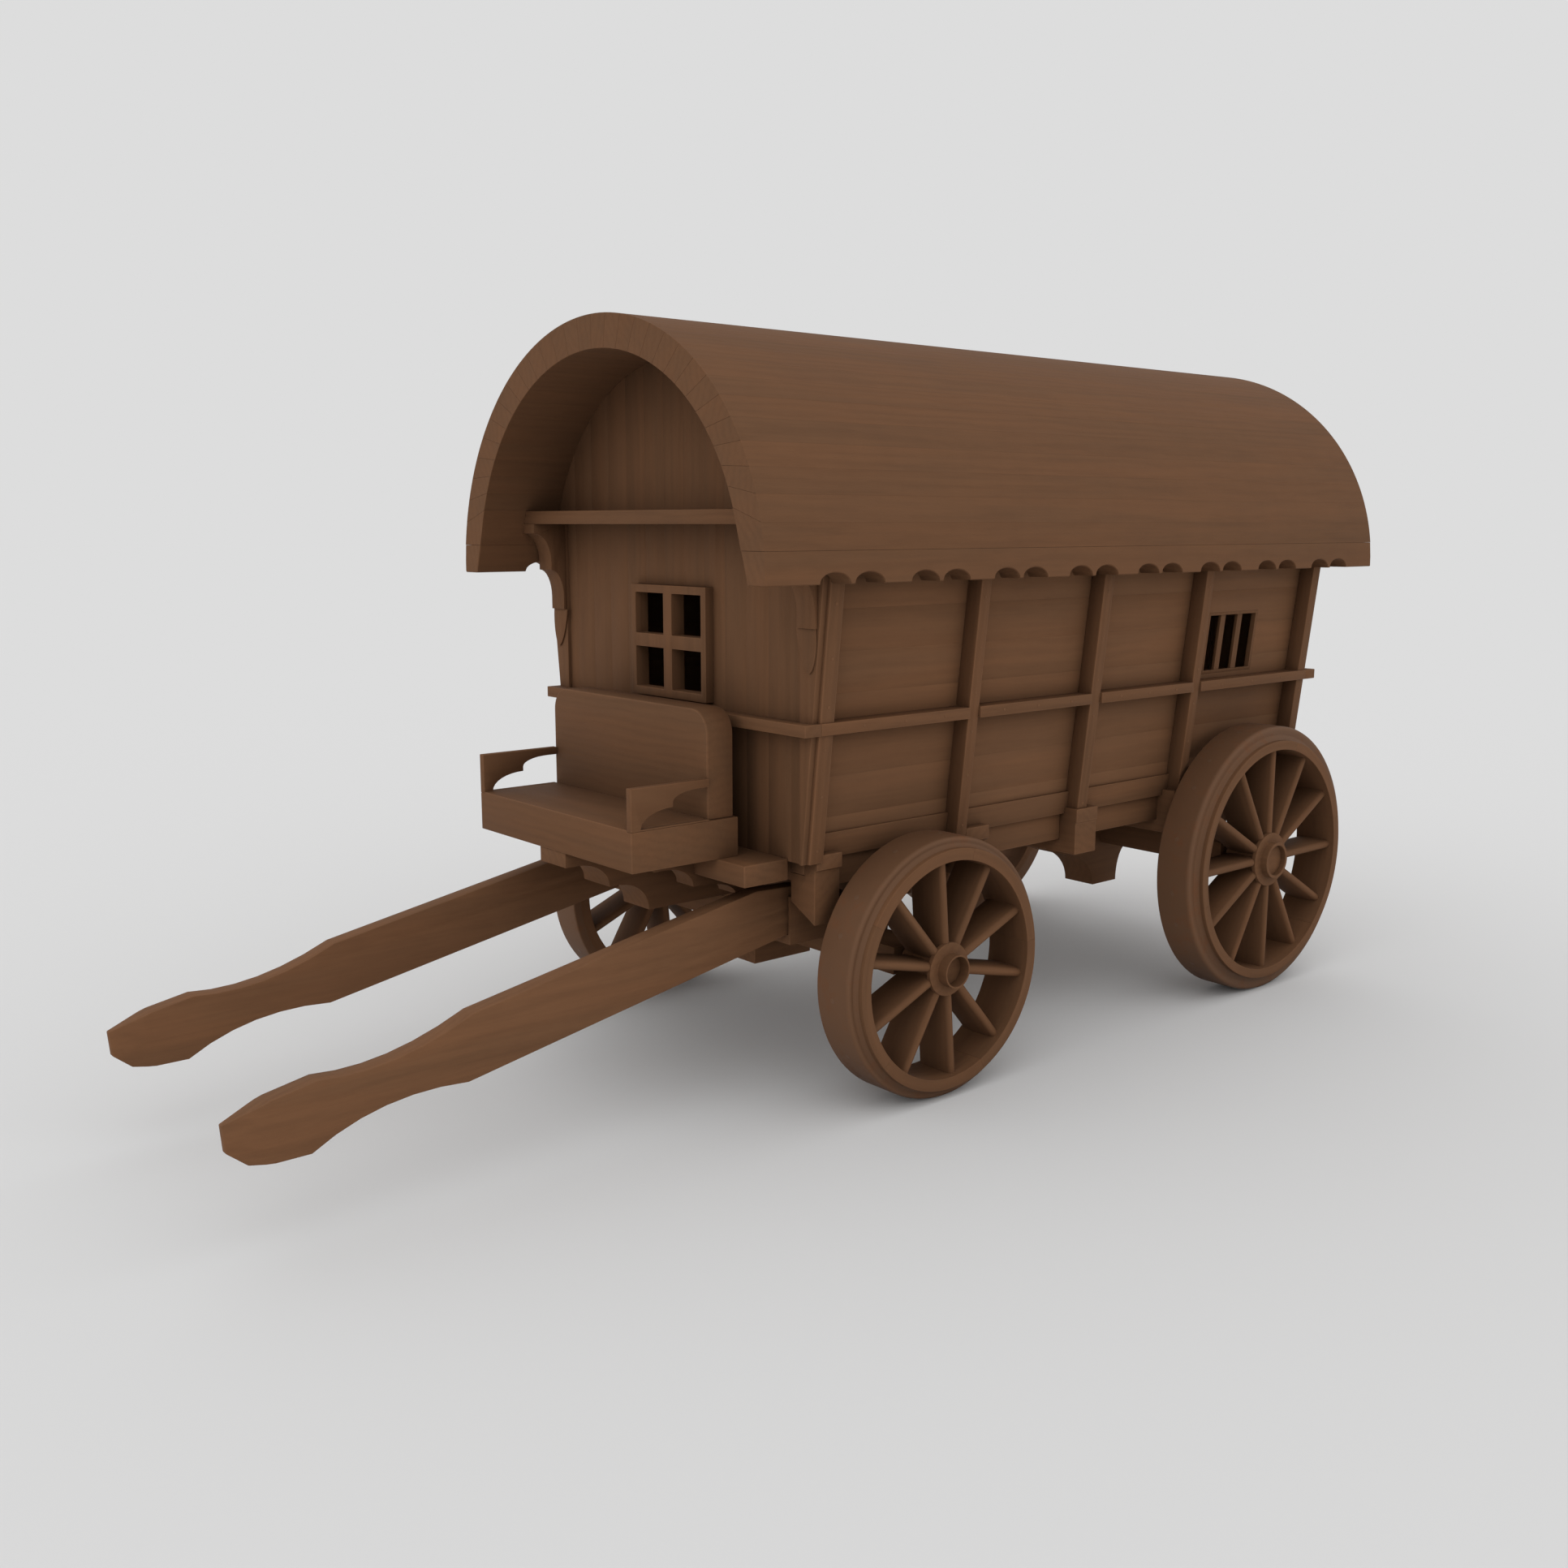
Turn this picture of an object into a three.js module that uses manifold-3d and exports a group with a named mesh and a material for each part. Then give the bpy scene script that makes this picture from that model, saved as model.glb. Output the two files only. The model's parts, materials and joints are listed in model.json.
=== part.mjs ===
// Horse-drawn living wagon: a leaning-sided wooden body under a round shell roof, a driver's seat on a
// porch, four spoked wheels, a turning fore-carriage and a pair of hinged shafts.
// Millimetres. Z is up from the ground, the front faces -Y, and +X is the driver's left.
// Places along the wagon are stations: distances behind the outer face of the front wall.
import * as THREE from "three";
import { mergeVertices } from "three/addons/utils/BufferGeometryUtils.js";
import Module from "manifold-3d";

const wasm = await Module();
wasm.setup();

// ---------------------------------------------------------------- driving dimensions

const seam = 0.3; // gap left between pieces that touch

// Body
const bodyLength = 3260;
const bodyBottom = 980;
const wallThickness = 25;
const leanPerMm = 0.108; // how far the sides lean outwards for each millimetre of height
const midHeight = 1500;
const ribFaceAtMidHeight = 880; // half the width over the ribs at that height
const ribDepth = 76;
const wallTop = 2095;
const floorThickness = 30;
const endWallHalfWidth = 794;

// Roof shell
const roofFrontOverhang = 376;
const roofRearOverhang = 270;
const roofFront = -roofFrontOverhang;
const roofRear = bodyLength + roofRearOverhang;
const eaveHeight = 2035;
const roofHalfWidth = 1042;
const roofRise = 990;
const crownThickness = 128;
const haunchThickness = 137; // where the vault springs
const eaveThickness = 101;
const vaultRise = roofRise - crownThickness;
const vaultHalfWidth = roofHalfWidth - haunchThickness;
const vaultHalfWidthAtEave = roofHalfWidth - eaveThickness;
const flareTop = 2225; // the inner face is straight from the eave to here
const scallopWidth = 147;
const scallopDepth = 42;
const firstPairCentre = 23;
const pairPitch = 446;
const pairSpacing = 166; // centre to centre of the two notches in a pair
const scallopPairs = Math.floor((roofRear - pairSpacing - firstPairCentre) / pairPitch) + 1;

// Frame timbers on the sides
const bottomRailHeight = 100;
const bottomRailProud = 18;
const beltBottom = 1476;
const beltHeight = 46;
const beltHalfWidth = 890;
const endBeltDepth = 70;
const cornerPostInset = 15; // how far a corner post stands in from the face of the ribs
const cornerPostProud = 15; // how far it stands out from an end wall
const wallPlateHeight = 70;

// Front shelf
const shelfDepth = 173;
const shelfBottom = 2243;
const shelfHeight = 55;
const bracketThickness = 100;

// Windows
const frontFrameHalfWidth = 256;
const frontFrameBottom = 1545;
const frontFrameTop = 2000;
const frontFrameProud = 40;
const paneWidth = 195;
const paneHeight = 167;
const mullionWidth = 57;
const transomHeight = 55;
const paneBottom = 1578;
const barredFront = bodyLength - 772;
const barredLength = 371;
const barredBottom = 1557;
const barredHeight = 262;
const barredLining = 14;
const barWidth = 38;
const barDepth = 15;
const barInset = 10;

// Rear door and step
const doorHalfWidth = 330;
const doorTop = 2720;
const doorGap = 6;
const doorPullInset = 40; // from the door's free edge
const doorPullWidth = 28;
const doorPullProud = 38;
const doorPullBottom = 1700;
const doorPullTop = 1860;
const hingeOffset = 19; // the door's pivot stands this far behind the wall's outer face
const hingePinRadius = 7;
const hingeClearance = 0.5;
const hingeEyeRadius = 14;
const hingeHalfHeight = 25;
const hingeHeights = [1210, 1860, 2510];
const strapLength = 276; // from the pivot in across the door
const strapProud = 6;
const hingePlateReach = 70; // above and below the outer hinges
const stepHalfWidth = 260;
const stepRear = bodyLength + 245;
const stepBoard = 30;
const stepBottom = 560;
const stepGoing = 88;
const stepRise = 190;

// Porch and seat
const porchDepth = 213;
const porchHalfWidth = 712;
const porchTop = 990;
const porchThickness = 84;
const seatHalfWidth = 552;
const seatFront = -606;
const seatRear = -115;
const seatTop = 1149;
const seatHousing = 6; // depth of the rebate in the seat that holds the arms and the backrest
const backHalfWidth = 538;
const backFront = -250;
const backRear = -127;
const backTop = seatTop + 411;
const backCornerRadius = 95;
const armThickness = 30;
const armPost = 42;
const armTop = seatTop + 155;
const centreBracketHalfWidth = 92;

// Chassis
const sillInner = 655;
const sillOuter = 740;
const sillBottom = 860;
const bearerBottom = 803;
const frontBearerBottom = 888; // raised between the sills, over the shafts
const frontLapHeight = 920; // the sills are cut up to here to lap over the front bearer
const lipBottom = 942; // the bearers' ends turn up in a lip outside the bottom rail
const lipTop = 1008;
const earInnerBottom = 806;
const earOuterBottom = 732;

// Wheels and axles
const axles = {
  front: {
    station: 545,
    radius: 525,
    tyreDepth: 40,
    rimDepth: 88,
    spokes: 10,
    firstSpokeDegrees: -13,
    barrelRadius: 92,
    flangeRadius: 107,
    noseRadius: 67,
    noseFace: 1093,
    recessRadius: 60,
    recessDepth: 50,
  },
  rear: {
    station: bodyLength - 490,
    radius: 645,
    tyreDepth: 65,
    rimDepth: 109,
    spokes: 12,
    firstSpokeDegrees: 0,
    barrelRadius: 112,
    flangeRadius: 130,
    noseRadius: 88,
    noseFace: 1082,
    recessRadius: 73,
    recessDepth: 29,
  },
};
const wheelSides = 48;
const wheelInnerFace = 856;
const treadOuterFace = 1036;
const ringOuterFace = 1066;
const hubInnerFace = 846;
const hubInnerRadius = 70;
const hubFlangeFront = 1046;
const hubFlangeRear = 1020;
const spokeCentre = 953;
const spokeAxial = 174;
const spokeTangential = 38;
const axleArmRadius = 30;
const armClearance = 0.8;
const axleBedHalfWidth = 826;
const axleBedHeight = 114;

// Fore-carriage
const axleBedDepth = 180;
const bolsterHalfWidth = 440;
const turntableHeight = 748; // where the two plates meet
const turntableRadius = 250;
const plateThickness = 12;
const kingPinRadius = 20;
const kingPinClearance = 0.6;

// Shafts
const shaftCentre = 560;
const shaftThickness = 76;
const earClearance = 62; // the front bearer's ends drop in a slanted ear this far outside the shafts
const earInner = shaftCentre + shaftThickness / 2 + earClearance;
const shaftTip = -2136;
const shaftTipCut = -2010; // station where the tip starts to narrow
const shaftTipWidth = 24;
const pivotStation = 150;
const pivotHeight = 752;
const shaftTailRadius = 90;
const shaftPinRadius = 16;
const shaftPinClearance = 0.5;
const cheekClearance = 5.5;
const cheekThickness = 12;

// ---------------------------------------------------------------- shapes and solids

const wagon = new THREE.Group();
wagon.position.y = -(shaftTip + roofRear) / 2;

const pine = { color: 0x6b4b34, roughness: 0.75, metalness: 0 };
const oak = { color: 0x64452f, roughness: 0.8, metalness: 0 };
const iron = { color: 0x4a3a30, roughness: 0.55, metalness: 0.7 };

// A closed outline. A step of two numbers is a corner. One of four is a curve: its control point and its
// end. One of six is an elliptical arc: centre, radii, start and end in degrees.
function outline(steps) {
  const shape = new THREE.Shape();
  steps.forEach((step, index) => {
    if (step.length === 6) {
      const [a, b, radiusA, radiusB, start, end] = step;
      const from = THREE.MathUtils.degToRad(start);
      const to = THREE.MathUtils.degToRad(end);
      shape.absellipse(a, b, radiusA, radiusB, from, to, to < from, 0);
    } else if (step.length === 4) {
      shape.quadraticCurveTo(...step);
    } else if (index === 0) {
      shape.moveTo(...step);
    } else {
      shape.lineTo(...step);
    }
  });
  return shape;
}

// A three.js geometry as a solid.
function solidFrom(geometry) {
  const bare = geometry.clone();
  bare.deleteAttribute("normal");
  bare.deleteAttribute("uv");
  const merged = mergeVertices(bare, 1e-3);
  const vertProperties = new Float32Array(merged.getAttribute("position").array);
  const triVerts = new Uint32Array(merged.getIndex().array);
  return new wasm.Manifold(new wasm.Mesh({ numProp: 3, vertProperties, triVerts }));
}

function geometryFrom(solid) {
  const mesh = solid.getMesh();
  const positions = new Float32Array(mesh.numVert * 3);
  for (let i = 0; i < mesh.numVert; i += 1) {
    positions.set(mesh.vertProperties.subarray(i * mesh.numProp, i * mesh.numProp + 3), i * 3);
  }
  const geometry = new THREE.BufferGeometry();
  geometry.setAttribute("position", new THREE.BufferAttribute(positions, 3));
  geometry.setIndex(new THREE.BufferAttribute(new Uint32Array(mesh.triVerts), 1));
  geometry.computeVertexNormals();
  return geometry;
}

function extruded(steps, depth, curveSegments = 6) {
  return new THREE.ExtrudeGeometry(outline(steps), { depth, curveSegments, bevelEnabled: false });
}

// A box between two places on each axis.
function block(x0, x1, s0, s1, z0, z1) {
  const box = new THREE.BoxGeometry(x1 - x0, s1 - s0, z1 - z0);
  box.translate((x0 + x1) / 2, (s0 + s1) / 2, (z0 + z1) / 2);
  return solidFrom(box);
}

// An outline of (station, height) carried across the wagon from x0 to x1.
function sideways(steps, x0, x1, curveSegments) {
  const geometry = extruded(steps, x1 - x0, curveSegments);
  const across = new THREE.Vector3(1, 0, 0);
  const along = new THREE.Vector3(0, 1, 0);
  const up = new THREE.Vector3(0, 0, 1);
  geometry.applyMatrix4(new THREE.Matrix4().makeBasis(along, up, across));
  geometry.translate(x0, 0, 0);
  return solidFrom(geometry);
}

// An outline of (x, height) carried along the wagon from s0 to s1.
function lengthways(steps, s0, s1, curveSegments) {
  const geometry = extruded(steps, s1 - s0, curveSegments);
  geometry.rotateX(Math.PI / 2);
  geometry.translate(0, s1, 0);
  return solidFrom(geometry);
}

// An outline of (x, station) raised from z0 to z1.
function upwards(steps, z0, z1, curveSegments) {
  const geometry = extruded(steps, z1 - z0, curveSegments);
  geometry.translate(0, 0, z0);
  return solidFrom(geometry);
}

// A round bar along X.
function crossBar(radius, x0, x1, station, height, sides = 32) {
  const bar = new THREE.CylinderGeometry(radius, radius, x1 - x0, sides);
  bar.rotateZ(Math.PI / 2);
  bar.translate((x0 + x1) / 2, station, height);
  return solidFrom(bar);
}

// A round bar along Z.
function uprightBar(radius, z0, z1, x, station, sides = 40) {
  const bar = new THREE.CylinderGeometry(radius, radius, z1 - z0, sides);
  bar.rotateX(Math.PI / 2);
  bar.translate(x, station, (z0 + z1) / 2);
  return solidFrom(bar);
}

// A ring or turned piece about the X axis, from a closed profile of (radius, x), with a flat side down.
function turned(profile, sides) {
  const points = [...profile, profile[0]].map(([radius, x]) => new THREE.Vector2(radius, x));
  const geometry = new THREE.LatheGeometry(points, sides);
  geometry.rotateZ(-Math.PI / 2);
  geometry.rotateX(Math.PI / sides);
  return solidFrom(geometry);
}

function joined(solids) {
  return solids.reduce((sum, solid) => sum.add(solid));
}

function cut(solid, tools) {
  return tools.reduce((rest, tool) => rest.subtract(tool), solid);
}

function mirrored(solid) {
  return solid.mirror([1, 0, 0]);
}

function place(name, solid, finish, parent = wagon) {
  const mesh = new THREE.Mesh(geometryFrom(solid), new THREE.MeshStandardMaterial(finish));
  mesh.name = name;
  parent.add(mesh);
}

// A left-hand piece and its mirror image on the right.
function placePair(name, leftSolid, finish, parent = wagon) {
  place("left_" + name, leftSolid, finish, parent);
  place("right_" + name, mirrored(leftSolid), finish, parent);
}

// ---------------------------------------------------------------- roof shell

// The space that the roof shell leaves, drawn in by the given margin: the vault, and all below the eaves.
function spaceUnderRoof(margin) {
  const wide = roofHalfWidth + 200;
  const eave = eaveHeight - margin;
  const flareDegrees = THREE.MathUtils.radToDeg(Math.asin((flareTop - eaveHeight) / vaultRise));
  const steps = [
    [-wide, 0],
    [wide, 0],
    [wide, eave],
    [vaultHalfWidthAtEave - margin, eave],
    [0, eaveHeight, vaultHalfWidth - margin, vaultRise - margin, flareDegrees, 180 - flareDegrees],
    [margin - vaultHalfWidthAtEave, eave],
    [-wide, eave],
  ];
  return lengthways(steps, roofFront - 1, roofRear + 1, 20);
}

const withinRoof = spaceUnderRoof(seam);

function roofShell() {
  const arch = lengthways([[0, eaveHeight, roofHalfWidth, roofRise, 0, 180]], roofFront, roofRear, 24);
  const notches = [];
  for (let pair = 0; pair < scallopPairs; pair += 1) {
    for (const side of [-1, 1]) {
      const centre = firstPairCentre + pair * pairPitch + (side * pairSpacing) / 2;
      const notch = [[centre, eaveHeight, scallopWidth / 2, scallopDepth, 0, 360]];
      notches.push(sideways(notch, -roofHalfWidth - 5, roofHalfWidth + 5, 8));
    }
  }
  return cut(arch, [spaceUnderRoof(0), ...notches]);
}
place("roof_shell", roofShell(), pine);

// ---------------------------------------------------------------- the leaning sides

function ribFace(z) {
  return ribFaceAtMidHeight + leanPerMm * (z - midHeight);
}

function wallFace(z) {
  return ribFace(z) - ribDepth;
}

// A block on the left side whose two faces lean with the ribs, set in from them by the given amounts.
function leaning(outerInset, innerInset, z0, z1, s0, s1) {
  const corners = [
    [ribFace(z0) - innerInset, z0],
    [ribFace(z0) - outerInset, z0],
    [ribFace(z1) - outerInset, z1],
    [ribFace(z1) - innerInset, z1],
  ];
  return lengthways(corners, s0, s1);
}

const wallInset = ribDepth + wallThickness;
const wallFront = wallThickness + seam;
const wallRear = bodyLength - wallThickness - seam;
const windowFront = barredFront - barredLining;
const windowRear = barredFront + barredLength + barredLining;
const windowBottom = barredBottom - barredLining;
const windowTop = barredBottom + barredHeight + barredLining;
const farOut = roofHalfWidth;

function sideWall() {
  const wall = leaning(ribDepth, wallInset, bodyBottom, wallTop, wallFront, wallRear);
  const hole = block(
    0,
    farOut,
    windowFront - seam,
    windowRear + seam,
    windowBottom - seam,
    windowTop + seam,
  );
  return cut(wall, [hole]);
}
placePair("side_wall", sideWall(), pine);

// The lining of the barred window, with its two upright bars.
function barredWindow() {
  const lining = leaning(ribDepth, wallInset, windowBottom, windowTop, windowFront, windowRear);
  const barredRear = barredFront + barredLength;
  const clear = block(0, farOut, barredFront, barredRear, barredBottom, barredBottom + barredHeight);
  const gapWidth = (barredLength - 2 * barWidth) / 3;
  const face = ribDepth + barInset;
  const bars = [0, 1].map((i) => {
    const start = barredFront + gapWidth + i * (gapWidth + barWidth);
    return leaning(face, face + barDepth, windowBottom + 1, windowTop - 1, start, start + barWidth);
  });
  return joined([cut(lining, [clear]), ...bars]);
}
placePair("barred_window", barredWindow(), oak);

// Ribs: stations of the front and rear faces, and whether the rib laps over the belt rail.
const ribs = [
  { front: 10, rear: 80, overBelt: false },
  { front: 804, rear: 862, overBelt: true },
  { front: 1569, rear: 1633, overBelt: true },
  { front: bodyLength - 956, rear: bodyLength - 898, overBelt: true },
  { front: bodyLength - 70, rear: bodyLength - 10, overBelt: false },
];
const frameFront = ribs[0].front;
const frameRear = ribs[ribs.length - 1].rear;
const beltTop = beltBottom + beltHeight;
const railInset = ribDepth - bottomRailProud;

// A corner post: upright inside, leaning outside, beside the end wall.
function cornerPost(s0, s1, top) {
  const inner = endWallHalfWidth + seam;
  const corners = [
    [inner, bodyBottom],
    [ribFace(bodyBottom) - cornerPostInset, bodyBottom],
    [ribFace(top) - cornerPostInset, top],
    [inner, top],
  ];
  return lengthways(corners, s0, s1);
}

// Everything planted on the outside of one wall: ribs, bottom rail, belt rail and corner posts.
function sideFrame() {
  const inner = ribDepth - seam;
  const railTop = bodyBottom + bottomRailHeight;
  const ribSolids = ribs.map((rib) => leaning(0, inner, bodyBottom, wallTop, rib.front, rib.rear));
  const rail = leaning(railInset, inner, bodyBottom, railTop, frameFront, frameRear);
  const beltCorners = [
    [wallFace(beltBottom) + seam, beltBottom],
    [beltHalfWidth, beltBottom],
    [beltHalfWidth, beltTop],
    [wallFace(beltTop) + seam, beltTop],
  ];
  const belt = lengthways(beltCorners, frameFront, frameRear);
  const ribsOverBelt = ribs.filter((rib) => rib.overBelt);
  const beltLaps = ribsOverBelt.map((rib) =>
    block(ribFace(beltBottom), farOut, rib.front, rib.rear, beltBottom - 1, beltTop + 1),
  );
  const posts = [
    cornerPost(-cornerPostProud, wallThickness, shelfBottom - seam),
    cornerPost(bodyLength - wallThickness, bodyLength + cornerPostProud, shelfBottom + shelfHeight - 1 - seam),
  ];
  const endWallReach = endWallHalfWidth + seam;
  const endWallRebates = [
    block(0, endWallReach, -wallThickness, wallFront, 0, wallTop + 1),
    block(0, endWallReach, wallRear, bodyLength + wallThickness, 0, wallTop + 1),
  ];
  const frame = joined([...ribSolids, rail, cut(belt, beltLaps), ...posts]);
  return cut(frame, endWallRebates).intersect(withinRoof);
}
placePair("side_frame", sideFrame(), oak);

// The plate on top of each side wall, which carries the roof.
function wallPlate() {
  const bottom = wallTop + seam;
  const inner = wallFace(wallTop) - wallThickness;
  const plate = block(inner, farOut, wallFront, wallRear, bottom, bottom + wallPlateHeight);
  return plate.intersect(withinRoof);
}
placePair("wall_plate", wallPlate(), oak);

// ---------------------------------------------------------------- end walls

const floorTop = bodyBottom + floorThickness;

// A wall across one end, from the bottom of the body up into the vault.
function endWall(s0, s1) {
  const halfWidth = endWallHalfWidth;
  const shelfTop = shelfBottom + shelfHeight;
  const lower = block(-halfWidth, halfWidth, s0, s1, bodyBottom, shelfTop);
  const gable = block(-farOut, farOut, s0, s1, shelfTop - 1, eaveHeight + roofRise);
  return lower.add(gable).intersect(withinRoof);
}

function frontWall() {
  const reach = frontFrameHalfWidth + seam;
  const low = frontFrameBottom - seam;
  const opening = block(-reach, reach, -50, wallThickness + 50, low, frontFrameTop + seam);
  return cut(endWall(0, wallThickness), [opening]);
}
place("front_wall", frontWall(), pine);

function frontWindowFrame() {
  const half = frontFrameHalfWidth;
  const frame = block(-half, half, -frontFrameProud, wallThickness, frontFrameBottom, frontFrameTop);
  const panes = [];
  for (const x0 of [mullionWidth / 2, -mullionWidth / 2 - paneWidth]) {
    for (const row of [0, 1]) {
      const low = paneBottom + row * (paneHeight + transomHeight);
      panes.push(block(x0, x0 + paneWidth, -100, 100, low, low + paneHeight));
    }
  }
  return cut(frame, panes);
}
place("front_window_frame", frontWindowFrame(), oak);

const doorBottom = floorTop + doorGap;
const pivotX = doorHalfWidth + doorGap;
const pivotBehind = bodyLength + hingeOffset;

function rearWall() {
  const opening = block(-pivotX, pivotX, bodyLength - 50, bodyLength + 50, floorTop, doorTop + doorGap);
  return cut(endWall(bodyLength - wallThickness, bodyLength), [opening]);
}
place("rear_wall", rearWall(), pine);

function floorBoards() {
  const halfWidth = wallFace(bodyBottom) - wallThickness - seam;
  return block(-halfWidth, halfWidth, wallFront, wallRear, bodyBottom, floorTop);
}
place("floor", floorBoards(), pine);

// ---------------------------------------------------------------- belts across the ends

// Plan of the left half of an end belt: from x out to the corner, and back behind the corner post.
function endBeltPlan(x) {
  const postOuter = ribFace(beltTop) - cornerPostInset + seam;
  const beltEnd = frameFront - seam;
  return [
    [x, -endBeltDepth],
    [beltHalfWidth, -endBeltDepth],
    [beltHalfWidth, beltEnd],
    [postOuter, beltEnd],
    [postOuter, -cornerPostProud - seam],
    [endWallHalfWidth, -cornerPostProud - seam],
    [endWallHalfWidth, -seam],
    [x, -seam],
  ];
}

const frontHalfBelt = upwards(endBeltPlan(-1), beltBottom, beltTop);
place("front_belt", frontHalfBelt.add(mirrored(frontHalfBelt)), oak);

const beltByDoor = pivotX + 48; // clear of the hinge plate and the opened door
const rearHalfBelt = upwards(endBeltPlan(beltByDoor), beltBottom, beltTop);
placePair("rear_belt", rearHalfBelt.mirror([0, 1, 0]).translate([0, bodyLength, 0]), oak);

// ---------------------------------------------------------------- shelf under the front of the roof

const shelfBeam = block(-farOut, farOut, -shelfDepth, -seam, shelfBottom, shelfBottom + shelfHeight);
place("shelf_beam", shelfBeam.intersect(withinRoof), oak);

// A carved bracket with two coves on the front of each corner post, ending in a tapered tongue.
function shelfBracket() {
  const back = -cornerPostProud - seam;
  const front = -shelfDepth;
  const neck = -90; // station where the upper cove ends
  const foot = -30; // station where the lower cove ends
  const footHeight = 1870;
  const profile = [
    [back, shelfBottom - seam],
    [front, shelfBottom - seam],
    [front, 2080, neck - front, 123, 90, 0],
    [neck, 2044],
    [neck, 1925, foot - neck, 119, 90, 0],
    [foot, footHeight],
    [back, footHeight],
  ];
  const inner = endWallHalfWidth + seam;
  const outer = inner + bracketThickness;
  const middle = (inner + outer) / 2;
  const tongue = [
    [inner, footHeight + 1],
    [middle, footHeight - 188],
    [middle + 14, footHeight - 188],
    [outer, footHeight + 1],
  ];
  const board = sideways(profile, inner, outer, 4);
  return board.add(lengthways(tongue, foot, back)).intersect(withinRoof);
}
placePair("shelf_bracket", shelfBracket(), oak);

// ---------------------------------------------------------------- rear door and step

function rearDoor() {
  const outer = bodyLength;
  const panel = block(-doorHalfWidth, doorHalfWidth, outer - wallThickness, outer, doorBottom, doorTop);
  const straps = hingeHeights.map((height) => {
    const low = height - hingeHalfHeight;
    const high = height + hingeHalfHeight;
    const strap = block(pivotX - strapLength, pivotX, outer - 1, outer + strapProud, low, high);
    const arm = block(pivotX - hingeEyeRadius, pivotX, outer + strapProud - 1, pivotBehind, low, high);
    return joined([strap, arm, uprightBar(hingeEyeRadius, low, high, pivotX, pivotBehind, 20)]);
  });
  const eyeHoles = hingeHeights.map((height) => {
    const reach = hingeHalfHeight + 1;
    const radius = hingePinRadius + hingeClearance;
    return uprightBar(radius, height - reach, height + reach, pivotX, pivotBehind, 20);
  });
  const wallRoom = block(doorHalfWidth + 1, pivotX + 50, outer - 50, outer + 5, 0, doorTop + 50);
  const pullEdge = doorPullInset - doorHalfWidth;
  const pull = block(
    pullEdge,
    pullEdge + doorPullWidth,
    outer - 1,
    outer + doorPullProud,
    doorPullBottom,
    doorPullTop,
  );
  return cut(joined([panel, ...straps, pull]), [...eyeHoles, wallRoom]);
}
place("rear_door", rearDoor(), pine);

// The hinge pins, standing on lugs of one long plate screwed to the wall beside the doorway.
function doorHinges() {
  const plateInner = pivotX + hingeEyeRadius + 6;
  const plateOuter = plateInner + 24;
  const base = bodyLength + seam;
  const lowest = hingeHeights[0] - hingePlateReach;
  const highest = hingeHeights[hingeHeights.length - 1] + hingePlateReach;
  const plate = block(plateInner, plateOuter, base, base + 8, lowest, highest);
  const pins = hingeHeights.map((height) => {
    const lugTop = height - hingeHalfHeight - 2;
    const lugFront = base + 4;
    const lugRear = pivotBehind + hingePinRadius;
    const lug = block(pivotX - hingePinRadius, plateOuter, lugFront, lugRear, lugTop - 14, lugTop);
    const pin = uprightBar(hingePinRadius, lugTop - 1, height + hingeHalfHeight, pivotX, pivotBehind, 16);
    return lug.add(pin);
  });
  return joined([plate, ...pins]);
}
place("door_hinges", doorHinges(), iron);

// Two treads between cut stringers, hung on the rear wall below the doorway.
function rearStep() {
  const front = bodyLength + seam;
  const upperRear = stepRear - stepGoing;
  const hangerRear = upperRear - stepGoing;
  const lowerTop = stepBottom + 2 * stepBoard;
  const upperTop = lowerTop + stepRise;
  const stringer = [
    [front, stepBottom],
    [stepRear, stepBottom],
    [stepRear, lowerTop],
    [upperRear, lowerTop],
    [upperRear, upperTop],
    [hangerRear, upperTop],
    [hangerRear, floorTop - 2],
    [front, floorTop - 2],
  ];
  const inner = stepHalfWidth - stepBoard;
  const lowerTread = block(-inner - 1, inner + 1, front + 10, stepRear, lowerTop - stepBoard, lowerTop);
  const upperTread = block(-inner - 1, inner + 1, front + 10, upperRear, upperTop - stepBoard, upperTop);
  const left = sideways(stringer, inner, stepHalfWidth);
  return joined([left, mirrored(left), lowerTread, upperTread]);
}
place("rear_step", rearStep(), oak);

// ---------------------------------------------------------------- porch and seat

const porchBottom = porchTop - porchThickness;
const porch = block(-porchHalfWidth, porchHalfWidth, -porchDepth, -seam, porchBottom, porchTop);
place("porch_floor", porch, oak);

const seatBottom = porchTop + seam;
const rebateFloor = seatTop - seatHousing;
const armInner = seatHalfWidth - armThickness;

function seatBox() {
  const box = block(-seatHalfWidth, seatHalfWidth, seatFront, seatRear, seatBottom, seatTop);
  const underBack = block(-farOut, farOut, backFront - seam, seatRear + 1, rebateFloor, seatTop + 1);
  const underArm = block(armInner - seam, farOut, seatFront - 1, seatRear, rebateFloor, seatTop + 1);
  return cut(box, [underBack, underArm, mirrored(underArm)]);
}
place("seat_box", seatBox(), pine);

const seatStand = rebateFloor + seam;

function seatBack() {
  const radius = backCornerRadius;
  const across = backHalfWidth - radius;
  const steps = [
    [-backHalfWidth, seatStand],
    [backHalfWidth, seatStand],
    [across, backTop - radius, radius, radius, 0, 90],
    [-across, backTop - radius, radius, radius, 90, 180],
  ];
  return lengthways(steps, backFront, backRear, 5);
}
place("seat_back", seatBack(), pine);

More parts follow.
